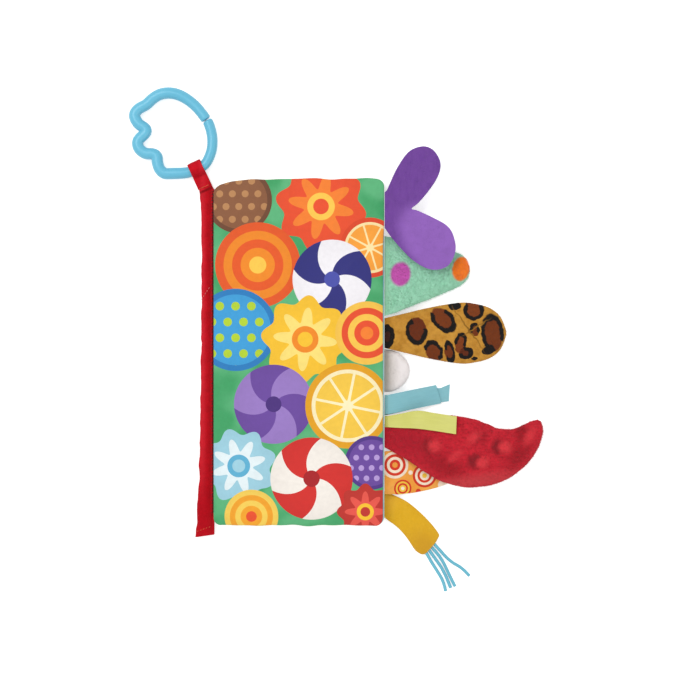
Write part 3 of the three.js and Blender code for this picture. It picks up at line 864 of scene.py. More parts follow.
@dataclass(frozen=True)
class Pile:
    """Fibres that stand on a cloth.

    Density is in fibres for each square millimetre, and length and radius are in millimetres.
    Lean is how far the fibres lie over towards comb, stray how far each goes its own way, and
    bend how far its tip lies over further. The bend is at knee, a share of the length, where the
    fibre has thinned to slimming. Each fibre's own length is a share between those of spread.
    """

    density: float
    length: float
    radius: float
    lean: float
    comb: Point
    stray: float
    seed: int
    bend: float = 0.0
    knee: float = 0.55
    slimming: float = 0.8
    spread: tuple[float, float] = (0.65, 1.15)

    def fibres(self, grid: Array) -> Form:
        """Plants the fibres evenly over a grid's area, and gives them as slim closed spikes.

        A root is a seeded random place in a seeded random face, drawn by the faces' areas. The
        spike's middle and tip follow the normal, the comb and the fibre's own stray direction.

        Args:
            grid: Rows x columns x 3 points of the cloth's outer side.

        Returns:
            One skin with all the fibres.
        """
        dice = np.random.default_rng(self.seed)
        normals = grid_normals(grid)
        corners = grid[:-1, :-1], grid[1:, :-1], grid[:-1, 1:], grid[1:, 1:]
        area = np.linalg.norm(np.cross(corners[1] - corners[0], corners[2] - corners[0]), axis=-1)
        heap = np.cumsum(area.ravel())
        count = int(heap[-1] * self.density)
        cell = np.minimum(np.searchsorted(heap, dice.uniform(0, heap[-1], count)), heap.size - 1)
        row, column = np.divmod(cell, area.shape[1])
        u, v = dice.uniform(size=(2, count, 1))

        def blended(values: Array) -> Array:
            """Values inside each root's face, from its four corners."""
            near = values[row, column] * (1 - v) + values[row, column + 1] * v
            far = values[row + 1, column] * (1 - v) + values[row + 1, column + 1] * v
            return near * (1 - u) + far * u

        root = blended(grid)
        normal = unit(blended(normals))
        comb = np.array(self.comb)
        comb = comb - normal * (normal @ comb)[:, None]
        stray = dice.normal(size=(count, 3)) * self.stray
        heading = unit(normal * (1 - self.lean) + comb * self.lean + stray)
        length = self.length * dice.uniform(*self.spread, (count, 1))
        side = unit(np.cross(heading, dice.normal(size=(count, 3))))
        other = np.cross(heading, side)
        turns = TURN * np.arange(3) / 3
        spokes = np.cos(turns)[:, None] * side[:, None] + np.sin(turns)[:, None] * other[:, None]
        root = root - normal * self.radius
        middle = root + heading * length * self.knee
        tip = middle + unit(heading + comb * self.bend) * length * (1 - self.knee)
        foot = root[:, None] + spokes * self.radius
        knee = middle[:, None] + spokes * self.radius * self.slimming
        spikes = np.concatenate([foot, knee, tip[:, None]], axis=1)
        base = spikes.shape[1] * np.arange(count)[:, None]
        walls = [[0, 1, 4, 3], [1, 2, 5, 4], [2, 0, 3, 5]]
        ends = [[3, 4, 6], [4, 5, 6], [5, 3, 6], [2, 1, 0]]
        faces = [np.concatenate([base + corners for corners in kind]) for kind in (walls, ends)]
        return outward(Form(spikes.reshape(-1, 3), faces))


def linked(name: str, data: bpy.types.ID) -> bpy.types.Object:
    """New object that is part of the scene."""
    item = bpy.data.objects.new(name, data)
    bpy.context.scene.collection.objects.link(item)
    return item


def place_piece(
    name: str,
    form: Form,
    finish: Finish,
    body: str,
    stands_for: Sequence[str] = (),
    cloth_name: str = "",
    crease_angle: float = 50.0,
) -> bpy.types.Object:
    """Puts a form into the scene as a piece that rides on a body.

    Args:
        name: The piece's name.
        form: Its skin.
        finish: What it is made of.
        body: The frame's body that it moves with, or "" for none.
        stands_for: Nodes of the frame that it replaces.
        cloth_name: Name of the material, where pieces share one.
        crease_angle: Edges sharper than this, in degrees, stay sharp.

    Returns:
        The piece.
    """
    mesh = bpy.data.meshes.new(name)
    faces = [face for part in form.faces for face in part.tolist()]
    mesh.from_pydata((form.points * METRES).tolist(), [], faces)
    mesh.polygons.foreach_set("use_smooth", np.ones(len(mesh.polygons), dtype=bool))
    mesh.set_sharp_from_angle(angle=math.radians(crease_angle))
    if form.surface is not None:
        corner = np.empty(len(mesh.loops), dtype=np.int32)
        mesh.loops.foreach_get("vertex_index", corner)
        layer = mesh.uv_layers.new(name="cloth")
        layer.uv.foreach_set("vector", (form.surface[corner] * METRES).astype(np.float32).ravel())
    mesh.materials.append(finish.material(cloth_name or name + "_cloth"))
    piece = linked(name, mesh)
    if body:
        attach(piece, body)
    if stands_for:
        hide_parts(*stands_for)
    LOG.info("%s: %d faces on %s", name, len(faces), body)
    return piece


# Shared places of the frame, in millimetres

@dataclass(frozen=True)
class Frame:
    """Sizes that more than one sub-assembly needs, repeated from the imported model."""

    leaf_width: float = 108.0
    leaf_height: float = 220.0
    seat_gap: float = 0.3
    back_level: float = 2.5
    middle_level: float = 7.8
    front_level: float = 13.1
    hinge_x: float = -55.1
    hinge_level: float = 10.6
    tape_mouth: float = -56.2
    tape_top: float = 103.0
    tape_foot: float = -116.0
    tape_height: float = 5.2
    loop_x: float = -65.54
    loop_y: float = 116.85
    loop_level: float = 4.85
    strap_lean: float = math.radians(24.5)

    @property
    def root_x(self) -> float:
        """Where the tails leave the fore-edge."""
        return self.leaf_width / 2 + self.seat_gap

    @property
    def loop_place(self) -> Array:
        """Where the ring's centre line runs through the hanging loop."""
        return np.array([self.loop_x, self.loop_y, self.loop_level])

    @property
    def strap_along(self) -> Array:
        """Direction of the strap, away from the spine."""
        return np.array([-math.sin(self.strap_lean), math.cos(self.strap_lean), 0.0])

    @property
    def strap_across(self) -> Array:
        """Direction across the strap."""
        return np.array([math.cos(self.strap_lean), math.sin(self.strap_lean), 0.0])


FRAME = Frame()


# Finishes of the book

COVER_PRINT = PrintPaint("3f9f63", "5cb27a", (
    Motif(SPOTS, -38, 96, 21, "8a5a3c", "b98557", "6f4730", 0.3),
    Motif(FLOWER, 14, 92, 29, "e8502c", "f4812f", "f9c74f", 0.2),
    Motif(SLICE, 45, 66, 19, "e04a28", "f7a13a", "fbe3a6", 0.5),
    Motif(RINGS, -26, 55, 27, "f08a24", "e65a24", "f9c84e"),
    Motif(BALL, 21, 46, 25, "2f2f7a", "f4f1f5", "4a50a8", 0.4),
    Motif(SPOTS, -40, 14, 26, "3f9fd8", "b5d335", "2c7fc0", 0.6),
    Motif(FLOWER, 4, 8, 28, "f7c331", "fbe07a", "f08a24", 0.1),
    Motif(RINGS, 43, 12, 20, "e8502c", "f9c74f", "f4812f"),
    Motif(BALL, -16, -33, 25, "6c4a9e", "9a7cc4", "4a2f7a", 1.1),
    Motif(SLICE, 31, -34, 27, "e8a51f", "f6c948", "fdf0c0", 0.2),
    Motif(FLOWER, -38, -72, 24, "9fd0e0", "e6f3f6", "5fb0d2", 0.5),
    Motif(SPOTS, 46, -70, 17, "6c4a9e", "b79bd8", "54398a", 0.2),
    Motif(BALL, 8, -80, 26, "d42f2a", "f6efe6", "a81f24", 0.9),
    Motif(RINGS, -30, -104, 17, "f4a52b", "f7d15a", "e8502c"),
    Motif(FLOWER, 42, -101, 18, "c0342c", "e8574a", "f7c331"),
))
BACK_PRINT = PrintPaint("3f9f63", "5cb27a", (
    Motif(FLOWER, -22, 84, 28, "f7c331", "fbe07a", "f08a24", 0.4),
    Motif(BALL, 32, 72, 25, "3f9fd8", "e6f3f6", "2c7fc0", 0.2),
    Motif(SLICE, -34, 28, 24, "e04a28", "f7a13a", "fbe3a6"),
    Motif(SPOTS, 20, 20, 28, "6c4a9e", "b79bd8", "54398a", 0.3),
    Motif(RINGS, -14, -30, 27, "f08a24", "f9c84e", "e65a24"),
    Motif(FLOWER, 38, -38, 22, "d42f2a", "e8574a", "f7c331", 0.1),
    Motif(BALL, -36, -80, 24, "8a5a3c", "d9b07a", "6f4730", 0.5),
    Motif(SLICE, 18, -86, 26, "b5d335", "dcea7a", "f7fbd8", 0.7),
))
MEADOW_PRINT = PrintPaint("86c6d3", "a2d6de", (
    Motif(SLICE, -28, 66, 26, "e8a51f", "f6c948", "fdf0c0", 0.1),
    Motif(FLOWER, 22, 28, 27, "e8574a", "f4a08f", "f7c331", 0.3),
    Motif(SPOTS, -30, -18, 22, "5cb27a", "b5d335", "3f9f63", 0.2),
    Motif(BALL, 20, -62, 28, "6c4a9e", "c9b6e2", "54398a", 0.6),
))
SUNNY_PRINT = PrintPaint("f3d27c", "f7dd98", (
    Motif(RINGS, 26, 70, 26, "3f9fd8", "9fd0e0", "f7f1df"),
    Motif(BALL, -24, 22, 27, "d42f2a", "f6efe6", "a81f24", 0.2),
    Motif(FLOWER, 28, -24, 24, "6c4a9e", "9a7cc4", "f7c331", 0.7),
    Motif(SLICE, -22, -72, 27, "5cb27a", "9fd07a", "eaf6d2", 0.4),
))


def page_cloth(paint: PrintPaint) -> Finish:
    """Smooth printed polyester of the inner pages."""
    return Finish("page_cloth", Texture.WEAVE, 0.5, 0.025, 0.66, paint, sheen=0.1, hollow_shade=0.1)


def sewing_thread(colour: str, worn: str, roughness: float, hollow_shade: float) -> Finish:
    """Polyester thread of the tape's seams."""
    paint = PlainPaint(colour, worn)
    return Finish("red_tape", Texture.TWILL, 0.4, 0.05, roughness, paint, hollow_shade=hollow_shade)


def ribbon_satin(slot: str, paint: PlainPaint) -> Finish:
    """Satin of the ribbons, with its ribs laid along each ribbon."""
    return Finish(
        slot, Texture.SATIN, 0.5, 0.03, 0.5, paint, sheen=0.1, hollow_shade=0.1, specular=0.4, by_surface=True,
    )


COVER_CLOTH = Finish("cover_cloth", Texture.WEAVE, 0.5, 0.03, 0.64, COVER_PRINT, sheen=0.1, hollow_shade=0.08)
BACK_CLOTH = Finish("cover_cloth", Texture.WEAVE, 0.5, 0.03, 0.64, BACK_PRINT, sheen=0.1, hollow_shade=0.08)
MEADOW_CLOTH = page_cloth(MEADOW_PRINT)
SUNNY_CLOTH = page_cloth(SUNNY_PRINT)
WADDING = Finish("wadding", Texture.PILE, 1.2, 0.4, 0.95, PlainPaint("f1efe9", "e2dfd6"))
FILM = Finish("crinkle_film", Texture.MOULDED, 2.5, 0.3, 0.3, PlainPaint("d8dde0", "e6eaec"), specular=0.5)
TAPE = Finish("red_tape", Texture.TWILL, 0.75, 0.07, 0.72, SpottedPaint("ca0a1d", "d51225", (
    # Painted highlight: a lighter band along the tape's left side.
    Spot(-61.6, 0, 220, 1.7, 90, "d8202f", 0.9),
    # Darker patch at the foot, over the highlight band.
    Spot(-61.5, -108, 22, 7, 90, "bd0318", 0.9),
    # Painted shade: a darker band along the tape's right side.
    Spot(-56.1, 0, 220, 1.5, 90, "b20615", 0.9),
    # Painted shadow: a dark line just below the strap's row of stitches, where it folds.
    Spot(-59.9, 102.9, 4.8, 0.8, 24, "8c0410", 0.7),
)), hollow_shade=0.35, specular=0.12)
# Overlock thread, coloured dark partly as painted shade along the join of the tape and the cover.
THREAD_AND_SEAM_SHADE = sewing_thread("4a1014", "5c181c", 0.6, 0.3)
PALE_THREAD = sewing_thread("f08c86", "f49c96", 0.55, 0.05)
ORANGE_THREAD = sewing_thread("ea7048", "f28c64", 0.55, 0.1)
RING_PLASTIC = Finish(
    "ring_plastic", Texture.MOULDED, 4.0, 0.02, 0.3, PlainPaint("62b7d4", "6abdd9"),
    hollow_shade=0.04, specular=0.45,
)
FELT = Finish("purple_felt", Texture.FELT, 0.7, 0.2, 0.95, SpottedPaint("74469c", "673a92", (
    # The lower lobe is painted lighter than the upper one.
    Spot(90, 68, 31, 19.5, -42, "9464bd", 0.22),
)), sheen=0.25, hollow_shade=0.24)
TEAL_SATIN = ribbon_satin("teal_ribbon", PlainPaint("7db9c4", "8ac3cc"))
LIME_SATIN = ribbon_satin("lime_ribbon", PlainPaint("cecd69", "d6d579"))
VELOUR = Finish(
    "yellow_velour", Texture.PILE, 0.35, 0.08, 0.85, SpottedPaint("dfab1a", "e5b52b", (
        # Painted light: the root painted lighter, where the cover casts its shadow.
        Spot(53, -92, 9, 9, 0, "f2bc38", 0.95),
        # Painted shade: darker at the mouth.
        Spot(80, -124.5, 8, 10, 35, "d09a1e", 0.95),
    )), sheen=0.15, hollow_shade=0.14,
)
CORD = Finish("blue_cord", Texture.TWILL, 0.4, 0.02, 0.5, PlainPaint("6cbacf", "74c0d4"), hollow_shade=0.03)
MINT_PLUSH = Finish("mint_plush", Texture.PILE, 0.4, 0.07, 0.92, SpottedPaint("a8e4c4", "86cda8", (
    Spot(64.5, 49.5, 7.6, 6.4, 82, "cf58b8", 0.16),
    Spot(103.2, 53, 7.8, 5.6, 76, "ff8418", 0.12),
    Spot(84, 63.5, 6.5, 6, 0, "f2b632", 0.12),
)), sheen=0.35, hollow_shade=0.22)
LEOPARD_PLUSH = Finish("leopard_plush", Texture.PILE, 0.5, 0.15, 0.92, RosettePaint(
    "d0973a", "b67c24", "120c0a",
    (
        Rosette(Spot(56, 9.8, 7.4, 4.5, 90, "3a1a10"), 90, 40, 0.45),
        Rosette(Spot(74.6, 13.3, 8.6, 6.6, 92, "6a2c0e"), -30, 52, 0.62),
        Rosette(Spot(91.8, 20.3, 9.3, 6.2, -46, "7a3812"), 158, 40, 0.6),
        Rosette(Spot(99, 29.4, 4, 2.6, 0, "120c0a"), 0, 10),
        Rosette(Spot(111.3, 26.4, 6.3, 6.1, 0, "803c14"), 90, 42, 0.58),
        Rosette(Spot(111.7, 14.2, 4, 3.1, 95, "74340f"), 180, 50, 0.42),
        Rosette(Spot(123.2, 12, 11.6, 6.9, 96, "74340f"), 205, 36, 0.66),
        Rosette(Spot(120.7, 1, 4.2, 2.7, 12, "120c0a"), 0, 10),
        Rosette(Spot(102.8, 5.8, 6.5, 3.5, 78, "803c14"), 180, 72, 0.52),
        Rosette(Spot(106.2, -0.8, 4.3, 4, 0, "64290e"), 150, 30, 0.36),
        Rosette(Spot(95.8, 0, 7.3, 3.2, 100, "74340f"), 95, 26, 0.5),
        Rosette(Spot(85.6, 0.4, 7.3, 5.2, 118, "74340f"), 130, 66, 0.62),
        Rosette(Spot(111.8, -4.3, 1.7, 1.3, 0, "120c0a"), 0, 10),
        # Painted shade in the two folds: thin darker lines, drawn as rosettes without a rim.
        Rosette(Spot(107.5, 15, 14.7, 0.5, -54.7, "95681f", 0.5), 0, 180),
        Rosette(Spot(112.5, 15.5, 9, 0.45, 33.7, "95681f", 0.5), 0, 180),
    ),
), sheen=0.12, hollow_shade=0.22)
WHITE_PLUSH = Finish("white_plush", Texture.PILE, 0.9, 0.04, 0.95, SpottedPaint("fdf8f7", "f6f1f0", (
    # Painted shade: darker on the root side, beside the leaves.
    Spot(54, -12, 12, 16, 0, "e8e0df", 0.7),
), (1.0, 0.5, 1.0), 0.5, 2.0), sheen=0.4, hollow_shade=0.02)
RED_PLUSH = Finish("red_plush", Texture.PILE, 0.45, 0.14, 0.88, SpottedPaint("d21f31", "a60b20", (
    # Darker patches; the broad one near the root is painted shade.
    Spot(142.2, -52, 4.6, 7, 20, "a40d1e", 0.7),
    Spot(92, -72, 13, 6, -25, "aa0f20", 0.8),
    Spot(70, -57, 18, 9, -20, "b41328", 0.9),
    Spot(140, -65, 10, 5, 50, "ac1021", 0.8),
    # A lighter band along the lower edge, then a darker patch.
    Spot(112, -82, 26, 4, 8, "cf3b42", 0.9),
    Spot(114.9, -53.2, 4.5, 5, 0, "b41526", 0.8),
    # Painted shade: a darker patch on the low side of each raised bump.
    Spot(82, -59.5, 4.4, 4.6, 0, "9c1421", 0.5),
    Spot(126.5, -60.3, 4.4, 4.6, 0, "941220", 0.5),
    Spot(111.5, -69.4, 4.6, 4.4, 30, "941220", 0.5),
    # Painted highlights: lighter patches on the raised bumps, and on two places where fainter bumps are not
    # shaped.
    Spot(86, -59.7, 4.2, 3.8, 0, "dd343e", 0.5),
    Spot(130.8, -60.6, 4.2, 3.8, 0, "dd343e", 0.5),
    Spot(116.4, -70.2, 4.4, 3.6, 30, "dd343e", 0.5),
    Spot(110.5, -54.6, 5.2, 2.6, 40, "dc323d", 0.8),
    Spot(146.8, -53.5, 6, 2.8, 60, "dc323d", 0.8),
    Spot(99, -66, 5, 2.2, 40, "dc323d", 0.8),
), (0.4, 1.0, 1.0), 0.6, 1.5), sheen=0.14, hollow_shade=0.2)
ORANGE_PRINT = Finish("orange_print", Texture.WEAVE, 0.45, 0.04, 0.8, PrintPaint("f09b38", "f4ab4c", (
    Motif(RINGS, 61, -72, 8.6, "d93a20", "fbe9d0", "f0a040"),
    Motif(RINGS, 80, -79, 7.6, "fbe9d0", "d93a20", "f4c542"),
    Motif(RINGS, 92, -72, 5.4, "d93a20", "fbe9d0", "f4c542"),
    Motif(RINGS, 66, -87, 5.6, "f4c542", "d93a20", "fbe9d0"),
    Motif(RINGS, 92, -85, 3.4, "fbe9d0", "fbe9d0", "fbe9d0"),
    Motif(RINGS, 75, -67, 3.2, "d93a20", "f4c542", "d93a20"),
    Motif(RINGS, 99, -79, 2.2, "d93a20", "d93a20", "d93a20"),
    Motif(RINGS, 71, -77, 1.4, "fbe9d0", "fbe9d0", "fbe9d0"),
    Motif(RINGS, 76, -89, 1.6, "d93a20", "d93a20", "d93a20"),
)), sheen=0.1, hollow_shade=0.14)


# Leaves

@dataclass(frozen=True)
class LeafCloth:
    """One printed cloth of a leaf: its node, its side of the seam and its finish."""

    node: str
    side: int
    finish: Finish
    steps: tuple[int, int] = (72, 140)
    relief: float = 0.15
    inward_only: bool = True


@dataclass
class Leaf:
    """A padded leaf: two printed cloths sewn along their hems, with wadding and film inside."""

    body: str
    level: float
    cloths: tuple[LeafCloth, LeafCloth]
    seed: int
    fore_edge_drawn_in: float = 0.0
    waver: float = 0.5
    width: float = FRAME.leaf_width
    height: float = FRAME.leaf_height
    thickness: float = 5.0
    corner: float = 5.0
    hem_low: float = 0.3
    hem_half: float = 0.75
    hem_fold: float = 1.2
    cloth: float = 0.6
    crown_run: float = 13.0
    corner_drop: float = 5.0
    corner_drop_reach: tuple[float, float] = (12.0, 30.0)
    drawn_in_below: float = 74.0
    pucker: float = 0.3
    pucker_reach: float = 5.0
    pucker_length: float = 7.0
    pad_inset: float = 8.0
    pad_half: float = 1.2
    film_thickness: float = 0.25

    def spread(self, steps: tuple[int, int]) -> tuple[Array, Array]:
        """Places over the leaf, closer together at the hems: 1.25 t less 0.25 t cubed."""
        across, along = (np.linspace(-1, 1, count) for count in steps)
        across, along = (1.25 * t - 0.25 * t ** 3 for t in (across, along))
        x, y = np.meshgrid(across * self.width / 2, along * self.height / 2)
        return x, y

    def outline(self, x: Array, y: Array, inset: float = 0.0) -> tuple[Array, Array]:
        """Rounds the corners, and lets the top corner by the spine and the fore-edge draw in.

        In a corner's square both offsets are shortened by the larger one over their length, which
        turns the square into a quarter of a disc.
        """
        half_x, half_y = self.width / 2 - inset - self.corner, self.height / 2 - inset - self.corner
        beyond_x = np.maximum(np.abs(x) - half_x, 0)
        beyond_y = np.maximum(np.abs(y) - half_y, 0)
        share = np.maximum(beyond_x, beyond_y) / np.maximum(np.hypot(beyond_x, beyond_y), 1e-9)
        x = np.sign(x) * (np.minimum(np.abs(x), half_x) + beyond_x * share)
        y = np.sign(y) * (np.minimum(np.abs(y), half_y) + beyond_y * share)
        reach_x, reach_y = self.corner_drop_reach
        drop = self.corner_drop * np.exp(-(x + self.width / 2) / reach_x - (self.height / 2 - y) / reach_y)
        low = 1 / (1 + np.exp((y - self.drawn_in_below) / 3))
        drawn = self.fore_edge_drawn_in * low * np.exp(-(self.width / 2 - x) / 9)
        near_end = (np.abs(y) * 2 / self.height) ** 8
        waver = self.waver * near_end * (waves(x[..., None] + np.sign(y)[..., None] * 40, 24, 17) - 0.4)
        return x - drawn, y - drop + np.sign(y) * waver

    def cloth_grid(self, cloth: LeafCloth) -> tuple[Array, Array]:
        """Outer and inner side of one cloth.

        The height over the seam is the hem's quarter round plus the crown, 1 less the cube of what
        is left of the crown's run, along both directions multiplied. Puckers run in from the hems
        and die out, and a crumple of soft ridges lies over the flat.
        """
        x, y = self.spread(cloth.steps)
        in_x, in_y = self.width / 2 - np.abs(x), self.height / 2 - np.abs(y)
        inset = np.minimum(in_x, in_y)
        crowns = [1 - (1 - np.clip(value / self.crown_run, 0, 1)) ** 3 for value in (in_x, in_y)]
        crown = crowns[0] * crowns[1]
        fold = np.sqrt(1 - (1 - np.clip(inset / self.hem_fold, 0, 1)) ** 2)
        hem = self.hem_low + (self.hem_half - self.hem_low) * fold
        height = hem + (self.thickness / 2 - self.hem_half) * crown
        x, y = self.outline(x, y)
        height = height + self.creases(x, y, in_x, in_y, crown, cloth)
        inside = np.maximum(height - self.cloth, 0.02)
        outer = np.stack([x, y, self.level + cloth.side * height], axis=-1)
        inner = np.stack([x, y, self.level + cloth.side * inside], axis=-1)
        return outer, inner

    def creases(self, x: Array, y: Array, in_x: Array, in_y: Array, crown: Array, cloth: LeafCloth) -> Array:
        """Height of the puckers and of the crumple."""
        place = np.stack([x, y], axis=-1)
        wander = waves(place, 40, self.seed) * 2.4
        run_x = np.sin(x / self.pucker_length * TURN + wander) * np.exp(-in_y / self.pucker_reach)
        run_y = np.sin(y / self.pucker_length * TURN + wander) * np.exp(-in_x / self.pucker_reach)
        near = np.clip(np.minimum(in_x, in_y) / 2.5, 0, 1)
        strength = 0.6 + 0.4 * waves(place, 55, self.seed + 1)
        puckers = self.pucker * near * strength * (run_x + run_y)
        soft = waves(place, 42, self.seed + 2) * 0.6
        ridges = sum(
            (1 - np.abs(waves(place, length, self.seed + shift))).clip(0, 1) ** 6
            for length, shift in ((60, 3), (46, 4))
        )
        crumple = cloth.relief * crown * (soft + ridges * 0.9 - 0.35)
        if cloth.inward_only:
            return -np.abs(crumple) - np.abs(puckers) * 0.5
        return crumple + puckers

    def layer(self, low: float, high: float, steps: tuple[int, int] = (24, 48)) -> Form:
        """Flat layer inside the leaf between two heights from the seam."""
        shrink = 1 - self.pad_inset / (self.width / 2)
        x, y = self.spread(steps)
        x, y = x * shrink, y * (1 - self.pad_inset / (self.height / 2))
        x, y = self.outline(x, y, self.pad_inset)
        uneven = waves(np.stack([x, y], axis=-1), 18, self.seed + 5) * 0.08
        top = np.stack([x, y, self.level + high + uneven - 0.1], axis=-1)
        bottom = np.stack([x, y, self.level + low + uneven * 0.5 + 0.05], axis=-1)
        return shell(top, bottom)

    def build(self) -> None:
        """Makes the two cloths, the wadding and the film."""
        for cloth in self.cloths:
            skin = shell(*self.cloth_grid(cloth))
            piece = place_piece(cloth.node + "_cloth", skin, cloth.finish, self.body, [cloth.node])
        body = self.body
        wadding = self.layer(-self.pad_half, self.pad_half - 2 * self.film_thickness)
        name = body + "_soft_wadding"
        piece = place_piece(name, wadding, WADDING, body, [body + "_wadding"], "wadding_fibre")
        film = self.layer(self.pad_half - self.film_thickness, self.pad_half)
        name = body + "_crackling_film"
        place_piece(name, film, FILM, body, [body + "_crinkle_film"], "crackling_film")


# Spine

@dataclass
class Spine:
    """Binding tape folded round the seam and drawn up over the ridge that the leaves roll on."""

    shares: Table = (
        (0, 1.03), (0.15, 0.82), (0.3, 0.74), (0.45, 0.69), (0.68, 0.645), (0.9, 0.65), (1, 0.77),
    )
    width: float = 9.8
    ridge_half: float = 0.8
    ridge_reach: float = 103.0
    top_tuck: float = 1.2
    foot_drops: tuple[float, float] = (2.2, 0.5)
    foot_reach: float = 12.0
    stitch_pitch: float = 1.9
    rows: int = 440
    wrinkle: float = 0.16
    foot_stitches: Table = ((-64.6, -114.2), (-57.2, -111.6))
    join_stitches: Table = ((-62.1, 33.8), (-57.5, 40.6))
    stitch_lift: float = 0.12
    loop_radius: float = 0.13
    caught_radius: float = 0.2
    core_levels: tuple[float, float] = (1.4, 3.8)
    core_inset: float = 1.6
    scallop: float = 0.22

    def left_edge(self, y: Array) -> Array:
        """Where the tape's outer fold lies, wavering a little along the spine."""
        table = refined(np.array(self.shares, dtype=float), 6)
        share = (y - FRAME.tape_foot) / (FRAME.tape_top - FRAME.tape_foot)
        width = np.interp(share, table[:, 0], table[:, 1]) * self.width
        return FRAME.tape_mouth - width + 0.35 * waves(y[:, None], 17, 31) + 0.12 * waves(y[:, None], 5, 32)

    def binding(self) -> Form:
        """Closed profile carried along Y.

        It runs under the fold, round its left side, over its flat top, up the ridge's side, over
        the ridge's bead and down. Wrinkles that slant across the tape push it in and out, and the
        bead's right side is scalloped where the overlock thread pulls it in. The foot is cut on a
        slant, lower at the fold.
        """
        y = np.linspace(FRAME.tape_foot, FRAME.tape_top + self.top_tuck, self.rows)
        left = self.left_edge(y)[:, None]
        ones = np.ones_like(left)
        high, bead, hinge = FRAME.tape_height, FRAME.hinge_x, FRAME.hinge_level
        near, far = bead - self.ridge_half, bead + self.ridge_half
        knots_x = [far * ones, left + 3, left + 1, left + 0.2, left, left + 0.25, left + 1.2, left + 2.8]
        knots_x += [v * ones for v in (near - 1.3, near - 0.35, near, near, near + 0.12, bead - 0.3)]
        knots_x += [v * ones for v in (bead + 0.3, far - 0.12, far, far)]
        knots_z = [0.25, 0.12, 0.3, 1.2, 2.6, 4.0, high - 0.2, high + 0.05, high - 0.1, high + 0.3]
        rise = [hinge - 0.4, hinge + 0.45, hinge + 0.8]
        knots_z += [high + 1.6, *rise, *rise[::-1], 3.0]
        x = np.concatenate(knots_x, axis=1)
        z = np.broadcast_to(np.array(knots_z), x.shape)
        ring = np.stack([x, z], axis=-1).swapaxes(0, 1)
        ring = refined(np.concatenate([ring, ring[:1]]), 5)[:-1].swapaxes(0, 1)
        x, z = ring[..., 0], ring[..., 1]
        ends = np.clip((self.ridge_reach - np.abs(y)) / 2 + 0.5, 0, 1)[:, None]
        z = np.where(z > high, high + (z - high) * ends, z)
        slant = np.stack([x * 0.8 + z * 0.4, y[:, None] + x * 0.9], axis=-1)
        folds = self.wrinkle * (waves(slant, 9, 33) + 0.6 * waves(slant, 4, 34))
        top_side = (z > high * 0.6) & (x < near - 0.6)
        z = z + np.where(top_side, folds - 0.12, 0.0)
        scallop = self.scallop * np.abs(np.sin(y[:, None] * math.pi / self.stitch_pitch))
        z = z - np.where((z > hinge) & (x > bead), scallop, 0.0)
        corner = np.clip(1 - (y[:, None] - FRAME.tape_foot) / self.foot_reach, 0, 1)
        lean = np.interp(x, [FRAME.tape_mouth - self.width, far], self.foot_drops)
        points = np.stack([x, y[:, None] - lean * corner, np.maximum(z, 0.05)], axis=-1)
        return tube(points)

    def core(self) -> Form:
        """Seam allowances inside the tape: a flat band that follows its width."""
        y = np.linspace(FRAME.tape_foot + 2, FRAME.tape_top - 2, 60)
        left = self.left_edge(y) + self.core_inset
        z_low = self.core_levels[0] + 0.05 * waves(y[:, None], 12, 36)
        z_high = self.core_levels[1] + 0.05 * waves(y[:, None], 9, 37)
        mouth = np.full_like(y, FRAME.tape_mouth - 0.1)
        ring = [(left, z_low + 0.3), (left, z_high - 0.3), (left + 0.4, z_high)]
        ring += [(mouth, z_high), (mouth, z_low), (left + 0.4, z_low)]
        return tube(np.stack([np.stack([x, y, z], axis=-1) for x, z in ring], axis=1))

    def overlock(self) -> Form:
        """Overlock thread: slanting loops over the ridge's bead, and the thread that they catch.

        The caught thread runs along the bead's right side, and its angle round the bead swings as
        a sine with the stitches. All of it is coloured dark, partly as painted shade along the join of
        the tape and the cover.
        """
        starts = np.arange(-self.ridge_reach + 1, self.ridge_reach - 1, self.stitch_pitch)
        angle = np.linspace(math.pi * 1.02, -0.35, 9)
        reach = self.ridge_half + 0.1
        arc = np.stack([
            FRAME.hinge_x + reach * np.cos(angle),
            np.linspace(0, self.stitch_pitch * 0.6, 9),
            FRAME.hinge_level + reach * np.sin(angle),
        ], axis=-1)
        loops = [thread(arc + np.array([0.0, start, 0.0]), self.loop_radius, 5) for start in starts]
        y = np.linspace(starts[0], starts[-1], 1200)
        swing = 1.1 + 0.35 * np.sin(y * TURN / (2.2 * self.stitch_pitch)) + 0.12 * waves(y[:, None], 9, 38)
        x, z = FRAME.hinge_x + reach * np.cos(swing), FRAME.hinge_level + reach * np.sin(swing)
        return merged([*loops, thread(np.stack([x, y, z], axis=-1), self.caught_radius)])

    def stitches(self, ends: Table, length: float) -> Form:
        """Five stitches of a length on top of the tape, between two places."""
        start, finish = (np.array([*end, FRAME.tape_height + self.stitch_lift]) for end in ends)
        return stitch_row(start, finish, 5, length)

    def build(self) -> None:
        """Makes the binding, the seam inside it and the threads."""
        body = "back_leaf"
        nodes = ["spine_binding_tape", "spine_seam_ridge"]
        place_piece("spine_binding", self.binding(), TAPE, body, nodes, "binding_tape_cloth", 70)
        core = self.core()
        place_piece("spine_seam_allowances", core, WADDING, body, ["spine_seam_core"], "wadding_fibre")
        foot = self.stitches(self.foot_stitches, 0.95)
        place_piece("spine_foot_stitches", foot, ORANGE_THREAD, body, (), "orange_thread")
        join = self.stitches(self.join_stitches, 1.2)
        place_piece("spine_join_stitches", join, PALE_THREAD, body, (), "pale_thread")
        place_piece("spine_overlock_thread", self.overlock(), THREAD_AND_SEAM_SHADE, body, (), "dark_thread")


# Hanging loop and link ring

